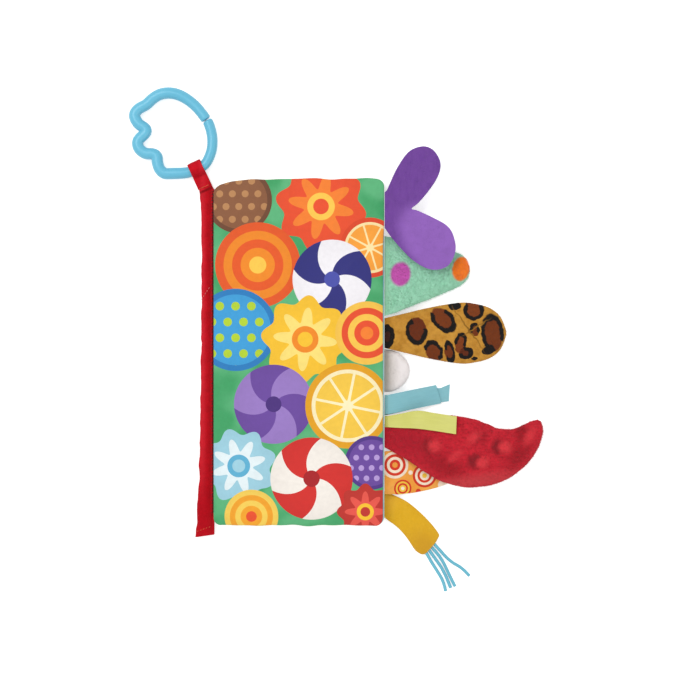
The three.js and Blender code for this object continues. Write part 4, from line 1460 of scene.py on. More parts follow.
@dataclass
class HangingLoop:
    """Strap folded round the link ring, its two tails sewn into the top of the spine."""

    half_width: float = 4.6
    cloth: float = 1.0
    reach: float = 14.9
    radius: float = 4.35
    low_leg: float = -2.9
    high_leg: float = -1.6
    columns: int = 13
    pinch: float = 0.06
    buckle: float = 0.14
    tack_from_end: float = 2.4

    def centre_line(self) -> Array:
        """Side view of the strap: along and up from the ring's centre, leg, circle and leg."""
        start = math.pi + math.asin(-self.low_leg / self.radius)
        finish = math.pi * 3 + math.asin(-self.high_leg / self.radius)
        angle = np.linspace(start, finish, 46)
        round_part = self.radius * np.stack([np.cos(angle), np.sin(angle)], axis=-1)
        leg = np.linspace(0, 1, 24)[:, None]
        low = (1 - leg) * np.array([-self.reach, self.low_leg]) + leg * round_part[0]
        high = (1 - leg) * round_part[-1] + leg * np.array([-self.reach, self.high_leg])
        line = np.concatenate([low[:-1], round_part, high[1:]])
        for count in [1] * 3 + [len(line) - 36] * 30:
            line[count:-1] = (line[count - 1:-2] + 2 * line[count:-1] + line[count + 1:]) / 4
        return line

    def strap(self) -> Form:
        """The centre line swept across the strap, with its thickness laid off along the normal.

        The ends are cut square to the spine, so that they run out further on one side, and the
        strap narrows and buckles a little where it turns round the ring.
        """
        line = self.centre_line()
        slope = unit(np.gradient(line, axis=0))
        normal = np.stack([slope[:, 1], -slope[:, 0]], axis=-1)
        across = np.linspace(-1, 1, self.columns)
        along_share = np.clip(-line[:, 0] / self.reach, 0, 1)
        cut = -np.tan(FRAME.strap_lean) * across[None] * self.half_width * along_share[:, None] ** 2
        pinch = 1 - self.pinch * np.exp(-((line[:, 0] - 0.5) / 5) ** 2)
        sideways = across[None] * self.half_width * pinch[:, None]
        rounded = (1 - np.abs(across) ** 6 * 0.55)[None, :, None] * self.cloth / 2
        place = np.stack([line[:, 0][:, None] + 0 * sideways, sideways], axis=-1)
        buckle = self.buckle * waves(place, 7, 41)

        def side(sign: float) -> Array:
            """Outer or inner side of the strap."""
            off = sign * rounded + buckle[..., None] * (0.4 + 0.3 * sign)
            offset = line[:, None] + normal[:, None] * off
            along = (offset[..., :1] + cut[..., None]) * FRAME.strap_along
            flat = along + sideways[..., None] * FRAME.strap_across
            return FRAME.loop_place + flat + offset[..., 1:] * UP

        return shell(side(1.0), side(-1.0))

    def bar_tack(self) -> Form:
        """Orange stitches in a row across the strap's foot."""
        middle = FRAME.loop_place + UP * (self.high_leg + self.cloth / 2 + 0.05)
        middle = middle - FRAME.strap_along * (self.reach - self.tack_from_end)
        across = FRAME.strap_across * self.half_width
        return stitch_row(middle - across * 0.78, middle + across * 0.5, 7)

    def build(self) -> None:
        """Makes the strap and its stitches."""
        body = "back_leaf"
        place_piece("hanging_strap", self.strap(), TAPE, body, ["hanging_loop"], "binding_tape_cloth", 70)
        place_piece("hanging_strap_stitches", self.bar_tack(), ORANGE_THREAD, body, (), "orange_thread")


@dataclass
class LinkRing:
    """Split plastic ring with three lobes, held in the hanging loop."""

    tube: float = 3.35
    swell: float = 0.33
    reach: float = 28.1
    straight: float = 5.6
    lead: Table = (
        (24.8, 0.828), (38.2, 0.814), (54.2, 0.832), (70.7, 0.877), (83.7, 0.926), (96.1, 0.961),
        (108.4, 0.972), (120.3, 0.947), (131.6, 0.923), (142.7, 0.986), (150.9, 1), (156.2, 0.951),
        (162.5, 0.821), (166, 0.67), (172, 0.611), (180.7, 0.681), (186.9, 0.782), (193.6, 0.835),
        (203.7, 0.828), (214.8, 0.747), (222.8, 0.628), (233, 0.609), (239.7, 0.712), (248.4, 0.835),
        (257.4, 0.898), (267.8, 0.877), (281, 0.888),
    )
    loop_share: tuple[float, float] = (304.6, 0.933)
    trail: Table = (
        (330.7, 0.958), (345.5, 0.919), (0.6, 0.877), (15.7, 0.849), (23.0, 0.834),
    )
    edge_round: float = 1.2
    sides: int = 28

    def flat_place(self, rows: Sequence[tuple[float, float]]) -> Array:
        """Places from angles in degrees and shares of the reach."""
        table = np.array(rows, dtype=float)
        angle = np.radians(table[:, 0])
        radius = table[:, 1] * self.reach
        return np.stack([radius * np.cos(angle), radius * np.sin(angle), 0 * angle], axis=-1)

    def route(self) -> Array:
        """Centre line: the table's places, a straight run in the loop, then evened out."""
        loop = np.array([FRAME.loop_x, FRAME.loop_y, 0.0])
        centre = loop - self.flat_place([self.loop_share])[0]
        inside = loop + FRAME.strap_across * np.array([-1.0, 0.0, 1.0])[:, None] * self.straight
        lead, trail = self.flat_place(self.lead) + centre, self.flat_place(self.trail) + centre
        line = refined(np.concatenate([lead, inside, trail]), 8)
        gone = way_along(line)
        ends = np.array([0.0, 0.12, 0.35, 0.65]) * self.edge_round
        even = np.linspace(self.edge_round, gone[-1] - self.edge_round, 260)
        places = np.concatenate([ends, even, gone[-1] - ends[::-1]])
        line = np.stack([np.interp(places, gone, line[:, axis]) for axis in range(3)], axis=-1)
        for _ in range(5):
            line[5:-5] = (line[4:-6] + 2 * line[5:-5] + line[6:-4]) / 4
        away = (line - loop) @ FRAME.strap_along
        share = np.clip(away / away.max(), 0, 1)
        rest = self.tube + self.swell
        line[:, 2] = FRAME.loop_level + (rest - FRAME.loop_level) * share
        return line

    def build(self) -> None:
        """Makes the ring: a round tube, thicker on the far side, with rounded rims at its ends."""
        line = self.route()
        gone = way_along(line)
        from_end = np.minimum(gone, gone[-1] - gone)
        left = np.clip(1 - from_end / self.edge_round, 0, 1)
        thick = self.tube + self.swell * eased((FRAME.loop_x + 5 - line[:, 0]) / 20)
        radius = thick - self.edge_round * (1 - np.sqrt(1 - left ** 2))
        profile = circle(1.0, self.sides)[None] * radius[:, None, None]
        form = tube(carried(line, profile))
        place_piece("split_link_ring", form, RING_PLASTIC, "link_ring", ["link_ring"])


# Tails

@dataclass
class Tail:
    """Two cloths sewn together and into the fore-edge, stuffed or flat.

    The table's columns are the same as in the frame: along and sideways as shares of the length,
    half-width, puff, and the way from the seam's level to the level of rest.
    """

    name: str
    body: str
    finish: Finish
    root_level: float
    root_y: float
    length: float
    half_width: float
    puff: float
    table: Table
    seed: int
    pile: Pile | None = None
    stuffed: bool = True
    mouth_turn: float = 0.0
    mouth_share: float = 0.6
    hem: float = 0.5
    hem_cloth: float = 0.35
    cloth: float = 0.8
    unevenness: float = 0.05
    seam_dip: float = 0.1
    seam_pitch: float = 6.0
    fill_width: float = 0.82
    bumps: Table = ()
    bump_radius: float = 3.4
    bump_height: float = 1.3
    folds: Table = ()
    fold_reach: float = 0.9
    fold_depth: float = 0.75
    bare: float = 1.6
    pile_below: float = 0.6
    steps: tuple[int, int] = (12, 48)
    inner_share: float = 0.985
    lowest: float = 0.12

    def stations(self) -> tuple[Array, Array, Array, Array]:
        """Centres, sideways directions, half-widths and puffs along the tail.

        Each section is turned to the way the centre line runs, after a first half-width in which
        it turns away from the seam, and an oblique mouth turns the last ones further.
        """
        rows = refined(refined(np.array(self.table, dtype=float), 2), self.steps[0] // 2)
        rest = self.hem + self.puff + 0.1
        centre = np.stack([
            FRAME.root_x + rows[:, 0] * self.length,
            self.root_y + rows[:, 1] * self.length,
            self.root_level + rows[:, 4] * (rest - self.root_level),
        ], axis=-1)
        slope = np.gradient(centre, axis=0)
        heading = np.arctan2(slope[:, 1], slope[:, 0])
        gone = way_along(centre)
        mouth = eased((np.linspace(0, 1, len(rows)) - self.mouth_share) / (1 - self.mouth_share))
        turned = heading * np.minimum(1, gone / self.half_width) + mouth * self.mouth_turn
        across = np.stack([-np.sin(turned), np.cos(turned), 0 * turned], axis=-1)
        return centre, across, rows[:, 2] * self.half_width, rows[:, 3] * self.puff

    def half_grid(self, side: int) -> Array:
        """Outer side of the upper (1) or lower (-1) cloth.

        Across a section the place is the cosine of a half turn, and the height is the hem times
        the root of its sine plus the puff times its sine to the power 1.2. Gathers along the seam,
        a slow unevenness, raised bumps and pressed folds are added to the height.
        """
        centre, across, half, puff = self.stations()
        angle = np.linspace(0, math.pi, self.steps[1] + 1)
        sine = np.sin(angle).clip(0, 1)
        gone = way_along(centre)
        wavy = 1 + 0.008 * waves(gone[:, None], 15, self.seed + 1)
        flat = centre[:, None] + (across * (half * wavy)[:, None])[:, None] * np.cos(angle)[None, :, None]
        place = flat[..., :2]
        near_seam = np.exp(-(1 - np.abs(np.cos(angle))) / 0.16)
        gathers = 1 - self.seam_dip * near_seam * (0.5 + 0.5 * np.sin(
            gone[:, None] / self.seam_pitch * TURN + np.cos(angle) * 3 + waves(place, 20, self.seed) * 2,
        ))
        slow, quick = waves(place, 19, self.seed + 2 + side), waves(place, 8, self.seed + 5)
        lumps = 1 + self.unevenness * (slow + 0.6 * quick)
        height = (self.hem * sine ** 0.5 + puff[:, None] * sine ** 1.2) * gathers * lumps
        for x, y in self.bumps:
            far = ((place[..., 0] - x) ** 2 + (place[..., 1] - y) ** 2) / self.bump_radius ** 2
            height = height + self.bump_height * (1.3 * np.exp(-far ** 1.5) - 0.45 * np.exp(-far / 3)) * sine
        for line in self.folds:
            start, run = np.array(line[:2]), np.array(line[2:]) - line[:2]
            share = np.clip((place - start) @ run / (run @ run), 0, 1)
            off = np.linalg.norm(place - start - share[..., None] * run, axis=-1)
            ends = (share * (1 - share)) ** 0.25
            height = height - self.fold_depth * np.exp(-(off / self.fold_reach) ** 2) * ends
        flat[..., 2] = np.maximum(flat[..., 2] + side * height, self.lowest)
        return flat

    def cloth_form(self, side: int) -> Form:
        """One cloth with its thickness taken inwards, down to a hair at the seam."""
        outer = self.half_grid(side)
        centre = self.stations()[0]
        level = centre[:, None, 2]
        height = np.abs(outer[..., 2] - level)
        inner = centre[:, None] + (outer - centre[:, None]) * self.inner_share
        inner[..., 2] = level + side * np.maximum(height - self.cloth, 0.03)
        return shell(outer, inner)

    def filling(self) -> Form:
        """Stuffing: an oval body in the cavity, wherever the tail is thick enough to hold any."""
        centre, across, half, puff = self.stations()
        cavity = np.maximum(puff + self.hem_cloth - self.cloth, 0)
        rows = np.flatnonzero(cavity > 1.2)[::3]
        angle = np.linspace(0, TURN, 36, endpoint=False)
        width = (half * self.fill_width)[rows, None, None] * np.cos(angle)[None, :, None]
        points = centre[rows, None] + across[rows, None] * width
        sine = np.sin(angle)
        rise = np.maximum(cavity[rows, None] * np.abs(sine) ** 1.2 - 0.2, 0.05)
        uneven = 1 - 0.08 * np.abs(waves(points[..., :2], 7, self.seed + 9))
        points[..., 2] += np.sign(sine + 1e-9) * rise * uneven
        return tube(points)

    def fibres(self) -> Form:
        """Fibres on both cloths, but for a bare strip at the seam."""
        bare = int(np.searchsorted(self.stations()[0][:, 0], FRAME.root_x + self.bare))
        upper, lower = self.half_grid(1)[bare:], self.half_grid(-1)[bare:]
        density = self.pile.density * self.pile_below
        lower_pile = replace(self.pile, seed=self.pile.seed + 1, density=density)
        joined = merged([self.pile.fibres(upper[:, ::-1]), lower_pile.fibres(lower)])
        joined.points[:, 2] = np.maximum(joined.points[:, 2], 0.05)
        return joined

    def build(self) -> None:
        """Makes the two cloths and, where the tail has them, its stuffing and fibres."""
        name, body, fabric = self.name, self.body, self.name + "_fabric"
        for side, part in ((1, "top"), (-1, "bottom")):
            skin = self.cloth_form(side)
            nodes = [f"{name}_{part}"]
            piece = place_piece(f"{name}_{part}_cloth", skin, self.finish, body, nodes, fabric, 60)
        if self.stuffed:
            nodes = [name + "_stuffing"]
            filling = self.filling()
            piece = place_piece(name + "_soft_filling", filling, WADDING, body, nodes, "wadding_fibre")
        if self.pile is not None:
            place_piece(name + "_pile", self.fibres(), self.finish, body, (), fabric, 180)


MINT_TAIL = Tail(
    "mint_plush_tail", "mint_tail", MINT_PLUSH, FRAME.middle_level, 48.3, 54.3, 25.4, 3.0,
    (
        (0, 0, 1, 0, 0), (0.12, 0.01, 0.93, 0.5, 0.25), (0.41, 0.04, 0.74, 1, 0.85),
        (0.77, 0.073, 0.5, 0.95, 1), (0.91, 0.087, 0.37, 0.8, 1), (0.975, 0.093, 0.22, 0.5, 1),
        (1, 0.096, 0.04, 0.06, 1),
    ),
    seed=51,
    pile=Pile(4.2, 1.5, 0.05, 0.64, (0.5, -0.8, 0.0), 0.18, 61),
    unevenness=0.07,
)
LEOPARD_TAIL = Tail(
    "leopard_plush_tail", "leopard_tail", LEOPARD_PLUSH, FRAME.middle_level, 12.0, 77.0, 19.4, 3.0,
    (
        (0, 0, 0.49, 0, 0), (0.13, 0, 0.61, 0.5, 0.3), (0.375, 0, 0.84, 0.85, 0.85),
        (0.62, 0, 1, 1, 1), (0.745, 0, 0.97, 0.98, 1), (0.87, 0, 0.83, 0.87, 1),
        (0.95, 0, 0.6, 0.65, 1), (0.99, 0, 0.31, 0.35, 1), (1.01, 0, 0.05, 0.06, 1),
    ),
    seed=52,
    pile=Pile(3.4, 0.8, 0.06, 0.78, (1.0, 0.1, 0.0), 0.16, 62),
    folds=((99, 27, 116, 3), (105, 10.5, 120, 20.5)),
    steps=(20, 80),
)
WHITE_TAIL = Tail(
    "white_plush_tail", "white_tail", WHITE_PLUSH, FRAME.back_level, -12.0, 16.0, 13.7, 4.3,
    (
        (0, 0, 1, 0, 0), (0.3, 0, 0.95, 0.6, 0.5), (0.6, 0, 0.8, 1, 1),
        (0.85, 0, 0.53, 0.8, 1), (0.96, 0, 0.28, 0.5, 1), (1, 0, 0.06, 0.08, 1),
    ),
    seed=53,
    pile=Pile(2.6, 1.5, 0.05, 0.72, (0.9, -0.2, -0.2), 0.25, 63, bend=0.2),
    unevenness=0.02,
    seam_dip=0.03,
    pile_below=0.05,
)
RED_TAIL = Tail(
    "red_plush_tail", "red_tail", RED_PLUSH, FRAME.middle_level, -53.2, 99.4, 21.6, 4.0,
    (
        (0, 0, 0.35, 0, 0), (0.195, -0.038, 0.63, 0.5, -0.06), (0.386, -0.077, 0.97, 0.9, -0.06),
        (0.578, -0.119, 0.99, 1, -0.03), (0.737, -0.116, 0.8, 0.92, 0.5), (0.865, -0.062, 0.56, 0.76, 0.95),
        (0.94, 0.01, 0.37, 0.55, 1.05), (0.975, 0.062, 0.23, 0.34, 1.08), (0.993, 0.096, 0.05, 0.1, 1.1),
    ),
    seed=54,
    pile=Pile(3.4, 1.1, 0.055, 0.66, (1.0, -0.1, 0.0), 0.2, 64),
    bumps=((86.0, -59.7), (130.8, -60.6), (116.4, -70.2), (110.5, -54.3)),
    unevenness=0.08,
    steps=(20, 72),
)
ORANGE_TAIL = Tail(
    "orange_print_tail", "orange_tail", ORANGE_PRINT, FRAME.middle_level, -76.8, 47.6, 14.3, 0.7,
    (
        (0, 0, 0.95, 0, 0), (0.2, 0, 0.98, 1, 0.42), (0.45, 0, 0.89, 1, 0.84), (0.7, 0, 0.71, 1, 1),
        (0.87, 0, 0.49, 0.9, 1), (0.96, 0, 0.28, 0.6, 1), (1, 0, 0.05, 0.1, 1),
    ),
    seed=55,
    stuffed=False,
    cloth=0.7,
)
YELLOW_TAIL = Tail(
    "yellow_velour_tail", "yellow_tail", VELOUR, FRAME.back_level, -97.5, 35.0, 9.5, 1.6,
    (
        (0, 0, 0.87, 0, 0), (0.28, -0.146, 0.88, 0.6, 0.7), (0.5, -0.334, 0.9, 0.9, 1),
        (0.66, -0.517, 0.95, 1, 1), (0.77, -0.672, 0.97, 1, 1), (0.81, -0.728, 0.9, 1, 1),
        (0.835, -0.762, 0.78, 0.97, 1), (0.852, -0.785, 0.58, 0.9, 1),
    ),
    seed=56,
    stuffed=False,
    mouth_turn=math.radians(12),
)


@dataclass
class FeltTail:
    """Felt of two round lobes from a waist at the fore-edge, cut from one sheet."""

    root_y: float = 91.4
    reach: float = 49.1
    hub_share: float = 0.1487
    rise: float = 2.0
    buckle: float = 0.45
    cloth: float = 1.2
    rings: int = 16
    flat_size: tuple[float, float] = (0.0448, 0.0781)
    outline: Table = (
        (126.7, 0.248), (116.6, 0.261), (103.5, 0.332), (90, 0.491), (80.2, 0.682), (73.8, 0.788),
        (65.3, 0.868), (57, 0.88), (48.1, 0.833), (41.6, 0.76), (35, 0.631), (25.8, 0.446),
        (11, 0.285), (-3.6, 0.2), (-7.8, 0.272), (-12.1, 0.371), (-18, 0.625), (-22.2, 0.754),
        (-28.9, 0.857), (-35.4, 0.937), (-42.9, 0.988), (-49.7, 1), (-57.2, 0.955), (-64.2, 0.862),
        (-72.9, 0.703), (-84.3, 0.519), (-102, 0.371), (-119.9, 0.298),
    )
    fuzz: Pile = Pile(1.6, 0.7, 0.045, 0.75, (0.6, 0.5, 0.0), 0.5, 65)

    def rim(self) -> Array:
        """Outline of the felt in its own plane: the table's curve, closed by a straight root."""
        table = np.array(self.outline)
        angle, radius = np.radians(table[:, 0]), table[:, 1] * self.reach
        hub = self.hub_share * self.reach
        curve = refined(np.stack([hub + radius * np.cos(angle), radius * np.sin(angle)], axis=-1), 8)
        root = np.linspace(curve[-1], curve[0], 26)[1:-1]
        return np.concatenate([curve, root])

    def grid(self, side: int) -> Array:
        """One face of the felt: the rim drawn in towards the hub, on a slow rise with a buckle."""
        hub = np.array([self.hub_share * self.reach, 0.0])
        share = 1 - (1 - np.linspace(0.05, 1, self.rings)) ** 1.4
        flat = hub + (self.rim() - hub) * share[:, None, None]
        lift = self.rise * eased(flat[..., 0] / self.reach)
        buckle = self.buckle * waves(flat, 34, 71) * np.clip(flat[..., 0] / 12, 0, 1)
        edge = np.where(share[:, None] > 0.99, 0.75, 1.0)
        level = FRAME.front_level + lift + buckle + side * self.cloth / 2 * edge
        return np.stack([FRAME.root_x + flat[..., 0], self.root_y + flat[..., 1], level], axis=-1)

    def build(self) -> None:
        upper, lower = self.grid(1), self.grid(-1)
        rows, columns = upper.shape[:2]
        count = rows * columns
        quads = grid_quads(rows, columns, True)
        index = np.arange(count).reshape(rows, columns)
        rim = np.append(index[-1], index[-1, 0])[::-1]
        wall = edge_wall(rim, count)
        caps = [index[0][::-1][None], index[0][None] + count]
        points = np.concatenate([upper.reshape(-1, 3), lower.reshape(-1, 3)])
        form = outward(Form(points, [quads, quads[:, ::-1] + count, wall, *caps]))
        nodes = ["purple_felt_tail"]
        piece = place_piece("purple_felt_lobes", form, FELT, "purple_tail", nodes, "purple_felt_cloth")
        area = 0.5 * abs(float(np.sum(np.cross(self.rim(), np.roll(self.rim(), -1, axis=0))))) * METRES ** 2
        upper, lower = (np.concatenate([face, face[:, :1]], axis=1) for face in (upper, lower))
        fuzz = merged([self.fuzz.fibres(upper), self.fuzz.fibres(lower[:, ::-1])])
        place_piece("purple_felt_fuzz", fuzz, FELT, "purple_tail", (), "purple_felt_cloth", 180)


# Ribbons and cords

@dataclass
class Ribbon:
    """Flat satin ribbon sewn into the fore-edge.

    The table's columns are along and sideways as shares of the length, half-width, and millimetres
    above the root.
    """

    name: str
    node: str
    body: str
    finish: Finish
    root: Point
    length: float
    half_width: float
    table: Table
    rests_on: str
    seed: int
    seam_body: str = ""
    seam_drop: float = 0.0
    cut: float = 0.0
    end_cloth: float = 1.0
    cloth: float = 0.62
    columns: int = 17
    ripple: float = 0.1
    curl: float = 0.12

    def grid(self, side: int) -> tuple[Array, Array]:
        """One face of the ribbon, and its places along and across.

        Sections turn to the way the ribbon runs after a first half-width. The edges curl up by
        the fourth power of the place across. The end is cut on a slant, and thins there.
        """
        rows = refined(np.array(self.table, dtype=float), 10)
        centre = np.stack([rows[:, 0] * self.length, rows[:, 1] * self.length, rows[:, 3]], axis=-1)
        slope = np.gradient(centre, axis=0)
        far = np.linalg.norm(centre, axis=1)
        turned = np.arctan2(slope[:, 1], slope[:, 0]) * np.minimum(1, far / self.half_width)
        across = np.stack([-np.sin(turned), np.cos(turned), 0 * turned], axis=-1)
        share = np.linspace(-1, 1, self.columns)
        half = rows[:, 2] * self.half_width
        points = centre[:, None] + across[:, None] * (half[:, None] * share)[..., None]
        ripple = self.ripple * waves(points[..., :2], 11, self.seed)
        selvedge = np.where(np.abs(share) > 0.9, 1.0, 0.8)
        to_end = (rows[:, 0] / rows[-1, 0])[:, None] ** 4
        along = np.stack([np.cos(turned), np.sin(turned), 0 * turned], axis=-1)[:, None]
        points = points + along * (self.cut * share * to_end)[..., None]
        thin = 1 - (1 - self.end_cloth) * to_end ** 3
        points[..., 2] += self.curl * share ** 4 + ripple + side * self.cloth / 2 * selvedge * thin
        gone = way_along(centre)
        surface = np.stack(np.broadcast_arrays(gone[:, None], half[:, None] * share), axis=-1)
        return points + np.array(self.root), surface

    def build(self) -> None:
        upper, surface = self.grid(1)
        lower, _ = self.grid(-1)
        skin = shell(upper, lower, surface=surface)
        piece = place_piece(self.name, skin, self.finish, self.body, [self.node], self.node + "_satin")
        if self.seam_body:
            self.seam_end(upper[0], lower[0])

    def seam_end(self, upper: Array, lower: Array) -> None:
        """Short end between the seam and the ribbon's root."""
        back = np.array([FRAME.root_x - self.root[0] + 0.1, 0.0, -self.seam_drop])
        ahead = np.array([-0.03, 0.0, 0.0])
        faces = [np.stack([row + back, row + (back + ahead) / 2, row + ahead]) for row in (upper, lower)]
        across = np.linspace(-1, 1, self.columns) * self.half_width
        flat = np.stack(np.meshgrid(across, np.array([-2.0, -1.0, 0.0])), axis=-1)[..., ::-1]
        form = shell(*faces, surface=flat)
        piece = place_piece(self.name + "_seam_end", form, self.finish, "", (), self.node + "_satin")
        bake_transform(piece)


def falling_table(length: float, bend: float, drop: float) -> Table:
    """Table of a straight ribbon that comes down by drop over a run of 30 mm, as a smooth step."""
    share = np.linspace(0, 1, 8)
    level = -drop * eased(share * length / 30.0)
    return tuple(zip(share, share * bend, np.ones(8), level))


TEAL_LOWER = Ribbon(
    "lower_teal_satin", "teal_ribbon_lower", "lower_teal_ribbon", TEAL_SATIN, (54.3, -34.8, 7.25), 41.7, 5.6,
    (
        (0, 0, 1, 0), (0.25, 0.055, 1, -1.84), (0.5, 0.11, 1, -5.19), (0.7, 0.152, 0.97, -6.73),
        (0.85, 0.168, 0.82, -6.75), (0.93, 0.188, 0.86, -6.75), (1, 0.209, 0.92, -6.75),
    ),
    "back_leaf_outer_panel_cloth", 81, cut=1.9,
)
TEAL_UPPER = Ribbon(
    "upper_teal_satin", "teal_ribbon_upper", "upper_teal_ribbon", TEAL_SATIN, (56.5, -33.4, 8.35), 32.7, 6.1,
    falling_table(32.7, 0.195, 6.75), "lower_teal_satin", 82, "lower_teal_ribbon", 0.35, -0.5, 0.4,
)
LIME = Ribbon(
    "lime_satin", "lime_ribbon", "lime_ribbon", LIME_SATIN, (56.5, -44.2, 9.3), 43.2, 5.6,
    (
        (0, 0, 0.64, 0), (0.2, 0.012, 0.82, 0.925), (0.43, 0.03, 1.02, 2.22), (0.65, 0.002, 1, 3.219),
        (0.83, -0.025, 1, 3.626), (1, -0.051, 1, 3.7),
    ),
    "red_plush_tail_top_cloth", 83, "red_tail", 1.0, -0.65,
)


@dataclass
class Tassel:
    """Round cords that come out of the yellow tail's mouth and lie on the surface."""

    diameter: float = 0.002
    length: float = 0.031
    spread: float = 1.012
    routes: tuple[Table, ...] = (
        (
            (78.6, -123.6, 2.2), (81.2, -128.1, 2.0), (84.1, -133.2, 1.4), (87.4, -138.4, 1.05),
            (90.3, -143.3, 0.95), (91.9, -147.5, 0.95), (92.8, -151.1, 0.95),
        ),
        (
            (80.3, -122.4, 2.2), (83.2, -126.4, 2.0), (86.7, -131.3, 1.4), (90.0, -136.1, 1.05),
            (92.6, -141.0, 0.95), (94.5, -145.5, 0.95), (96.0, -149.1, 0.95),
        ),
        (
            (82.4, -121.5, 2.2), (85.0, -124.5, 2.1), (88.1, -128.1, 1.6), (90.9, -132.3, 1.2),
            (93.2, -136.8, 0.95), (95.8, -142.3, 0.95), (98.7, -148.1, 0.95),
        ),
        (
            (84.4, -120.0, 2.2), (86.4, -122.2, 2.15), (89.7, -125.8, 1.7), (93.2, -129.7, 1.3),
            (97.4, -133.2, 1.0), (101.3, -135.5, 0.95), (104.6, -138.1, 0.95), (107.8, -141.5, 0.95),
        ),
    )

    def build(self) -> None:
        for number, route in enumerate(self.routes, 1):
            points = refined(np.array(route), 3) * METRES
            points[:, :2] = Studio.centre + (points[:, :2] - Studio.centre) * self.spread
            name = f"tassel_strand_{number}"
            curve = bpy.data.curves.new(name, "CURVE")
            curve.dimensions = "3D"
            curve.bevel_depth = self.diameter / 2
            curve.bevel_resolution = 4
            curve.use_fill_caps = True
            spline = curve.splines.new("POLY")
            spline.points.add(len(points) - 1)
            weighted = np.concatenate([points, np.ones((len(points), 1))], axis=1)
            spline.points.foreach_set("co", weighted.ravel())
            curve.materials.append(CORD.material("tassel_cord_fibre"))
            piece = linked(name, curve)
            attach(piece, "yellow_tail")
            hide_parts(f"tassel_cord_{number}")
            LOG.info("%s: %d points", name, len(points))


# Studio

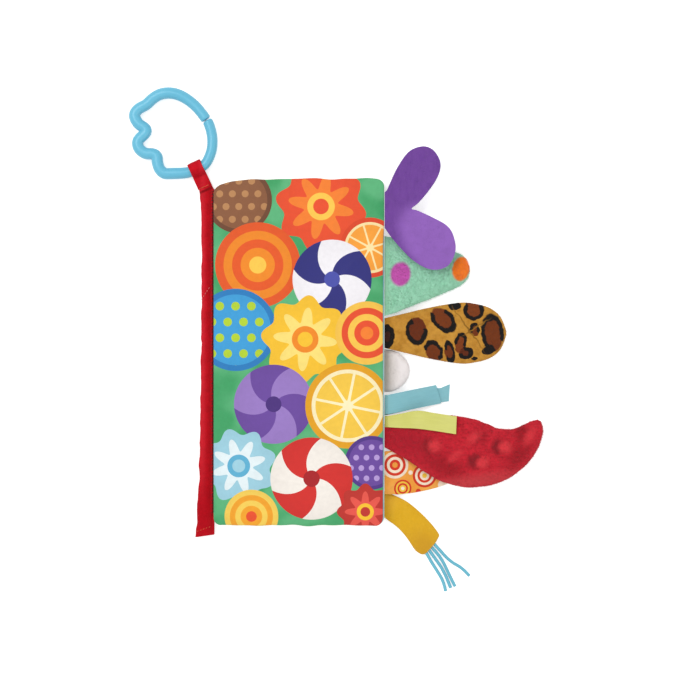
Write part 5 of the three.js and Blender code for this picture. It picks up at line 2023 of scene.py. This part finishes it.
@dataclass
class Studio:
    """Camera, lamps, pale world and the floor that keeps the book's shadow, in metres."""

    centre: tuple[float, float] = (0.026, 0.0076)
    distance: float = 1.2094
    lens: float = 100.0
    sensor: float = 36.0
    world_strength: float = 0.74
    key_size: float = 0.7
    key_power: float = 6.6
    key_place: Point = (-0.55, 0.5, 1.15)
    fill_power: float = 1.9
    fill_place: Point = (0.8, -0.5, 0.9)
    floor_half: float = 3.0
    floor_shade: float = 0.8
    floor_lift: float = 0.58

    def camera(self) -> None:
        """Camera straight above the book, framed as in the photograph."""
        data = bpy.data.cameras.new("camera")
        data.lens = self.lens
        data.sensor_width = self.sensor
        data.clip_start = 0.01
        data.clip_end = 20.0
        camera = linked("camera", data)
        camera.location = (*self.centre, self.distance)
        bpy.context.scene.camera = camera

    def lamp(self, name: str, place: Point, power: float, size: float) -> None:
        """Square lamp that faces the book's middle."""
        data = bpy.data.lights.new(name, "AREA")
        data.energy = power
        data.size = size
        lamp = linked(name, data)
        lamp.location = place
        away = np.array(place) - np.array([*self.centre, 0.0])
        yaw = math.atan2(away[1], away[0]) + math.pi / 2
        tilt = math.atan2(math.hypot(away[0], away[1]), away[2])
        lamp.rotation_euler = (tilt, 0.0, yaw)

    def seen_directly(self, pen: NodePen) -> Socket:
        """1 for rays from the camera, by reflection or through glass, and otherwise 0."""
        rays = pen.add("ShaderNodeLightPath", {}).outputs
        reflected = pen.math("MAXIMUM", rays["Is Glossy Ray"], rays["Is Transmission Ray"])
        return pen.math("MAXIMUM", rays["Is Camera Ray"], reflected)

    def world(self) -> None:
        """White world where it is seen, and softer as a light."""
        world = bpy.data.worlds.new("pale_world")
        pen = fresh_pen(world)
        seen = self.seen_directly(pen)
        strength = pen.math("MULTIPLY_ADD", seen, 1.0 - self.world_strength, self.world_strength)
        sky = pen.add("ShaderNodeBackground", {"Color": (1.0, 1.0, 1.0, 1.0), "Strength": strength})
        pen.add("ShaderNodeOutputWorld", {"Surface": sky.outputs[0]})
        bpy.context.scene.world = world

    def floor(self) -> None:
        """Pale floor at the book's resting face: matt white, made up to white where it is seen."""
        mesh = bpy.data.meshes.new("floor")
        half = self.floor_half
        corners = [(-half, -half, 0), (half, -half, 0), (half, half, 0), (-half, half, 0)]
        mesh.from_pydata(corners, [], [(0, 1, 2, 3)])
        material = bpy.data.materials.new("pale_floor")
        pen = fresh_pen(material)
        matt = pen.add("ShaderNodeBsdfDiffuse", {"Color": (*[self.floor_shade] * 3, 1.0)})
        strength = pen.times(self.seen_directly(pen), self.floor_lift)
        lift = pen.add("ShaderNodeEmission", {"Strength": strength})
        both = pen.add("ShaderNodeAddShader", {0: matt.outputs[0], 1: lift.outputs[0]})
        pen.add("ShaderNodeOutputMaterial", {"Surface": both.outputs[0]})
        mesh.materials.append(material)
        floor = linked("floor", mesh)

    def build(self) -> None:
        """Sets up everything round the book."""
        self.camera()
        self.world()
        self.floor()
        self.lamp("key_lamp", self.key_place, self.key_power, self.key_size)
        self.lamp("fill_lamp", self.fill_place, self.fill_power, self.key_size)
        bpy.context.scene.view_settings.view_transform = "Standard"


def leaves() -> list[Leaf]:
    """The three leaves from the back to the front."""
    return [
        Leaf("back_leaf", FRAME.back_level, (
            LeafCloth("back_leaf_outer_panel", -1, BACK_CLOTH, relief=0.3),
            LeafCloth("back_leaf_inner_panel", 1, MEADOW_CLOTH),
        ), 11),
        Leaf("middle_leaf", FRAME.middle_level, (
            LeafCloth("middle_leaf_back_panel", -1, SUNNY_CLOTH),
            LeafCloth("middle_leaf_front_panel", 1, MEADOW_CLOTH),
        ), 21),
        Leaf("front_leaf", FRAME.front_level, (
            LeafCloth("front_leaf_inner_panel", -1, SUNNY_CLOTH),
            LeafCloth("front_leaf_cover_panel", 1, COVER_CLOTH, (130, 250), 0.5, False),
        ), 31, fore_edge_drawn_in=0.8),
    ]


def main() -> None:
    """Builds the scene, the camera and the cords first."""
    logging.basicConfig(level=logging.INFO, format="%(name)s: %(message)s")
    Studio().build()
    Tassel().build()
    assemblies = [*leaves(), Spine(), HangingLoop(), LinkRing(), FeltTail()]
    assemblies += [MINT_TAIL, LEOPARD_TAIL, WHITE_TAIL, RED_TAIL, ORANGE_TAIL, YELLOW_TAIL]
    assemblies += [TEAL_LOWER, TEAL_UPPER, LIME]
    for assembly in assemblies:
        LOG.info("building %s", getattr(assembly, "name", type(assembly).__name__))
        assembly.build()
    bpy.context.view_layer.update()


if __name__ == "__main__":
    main()
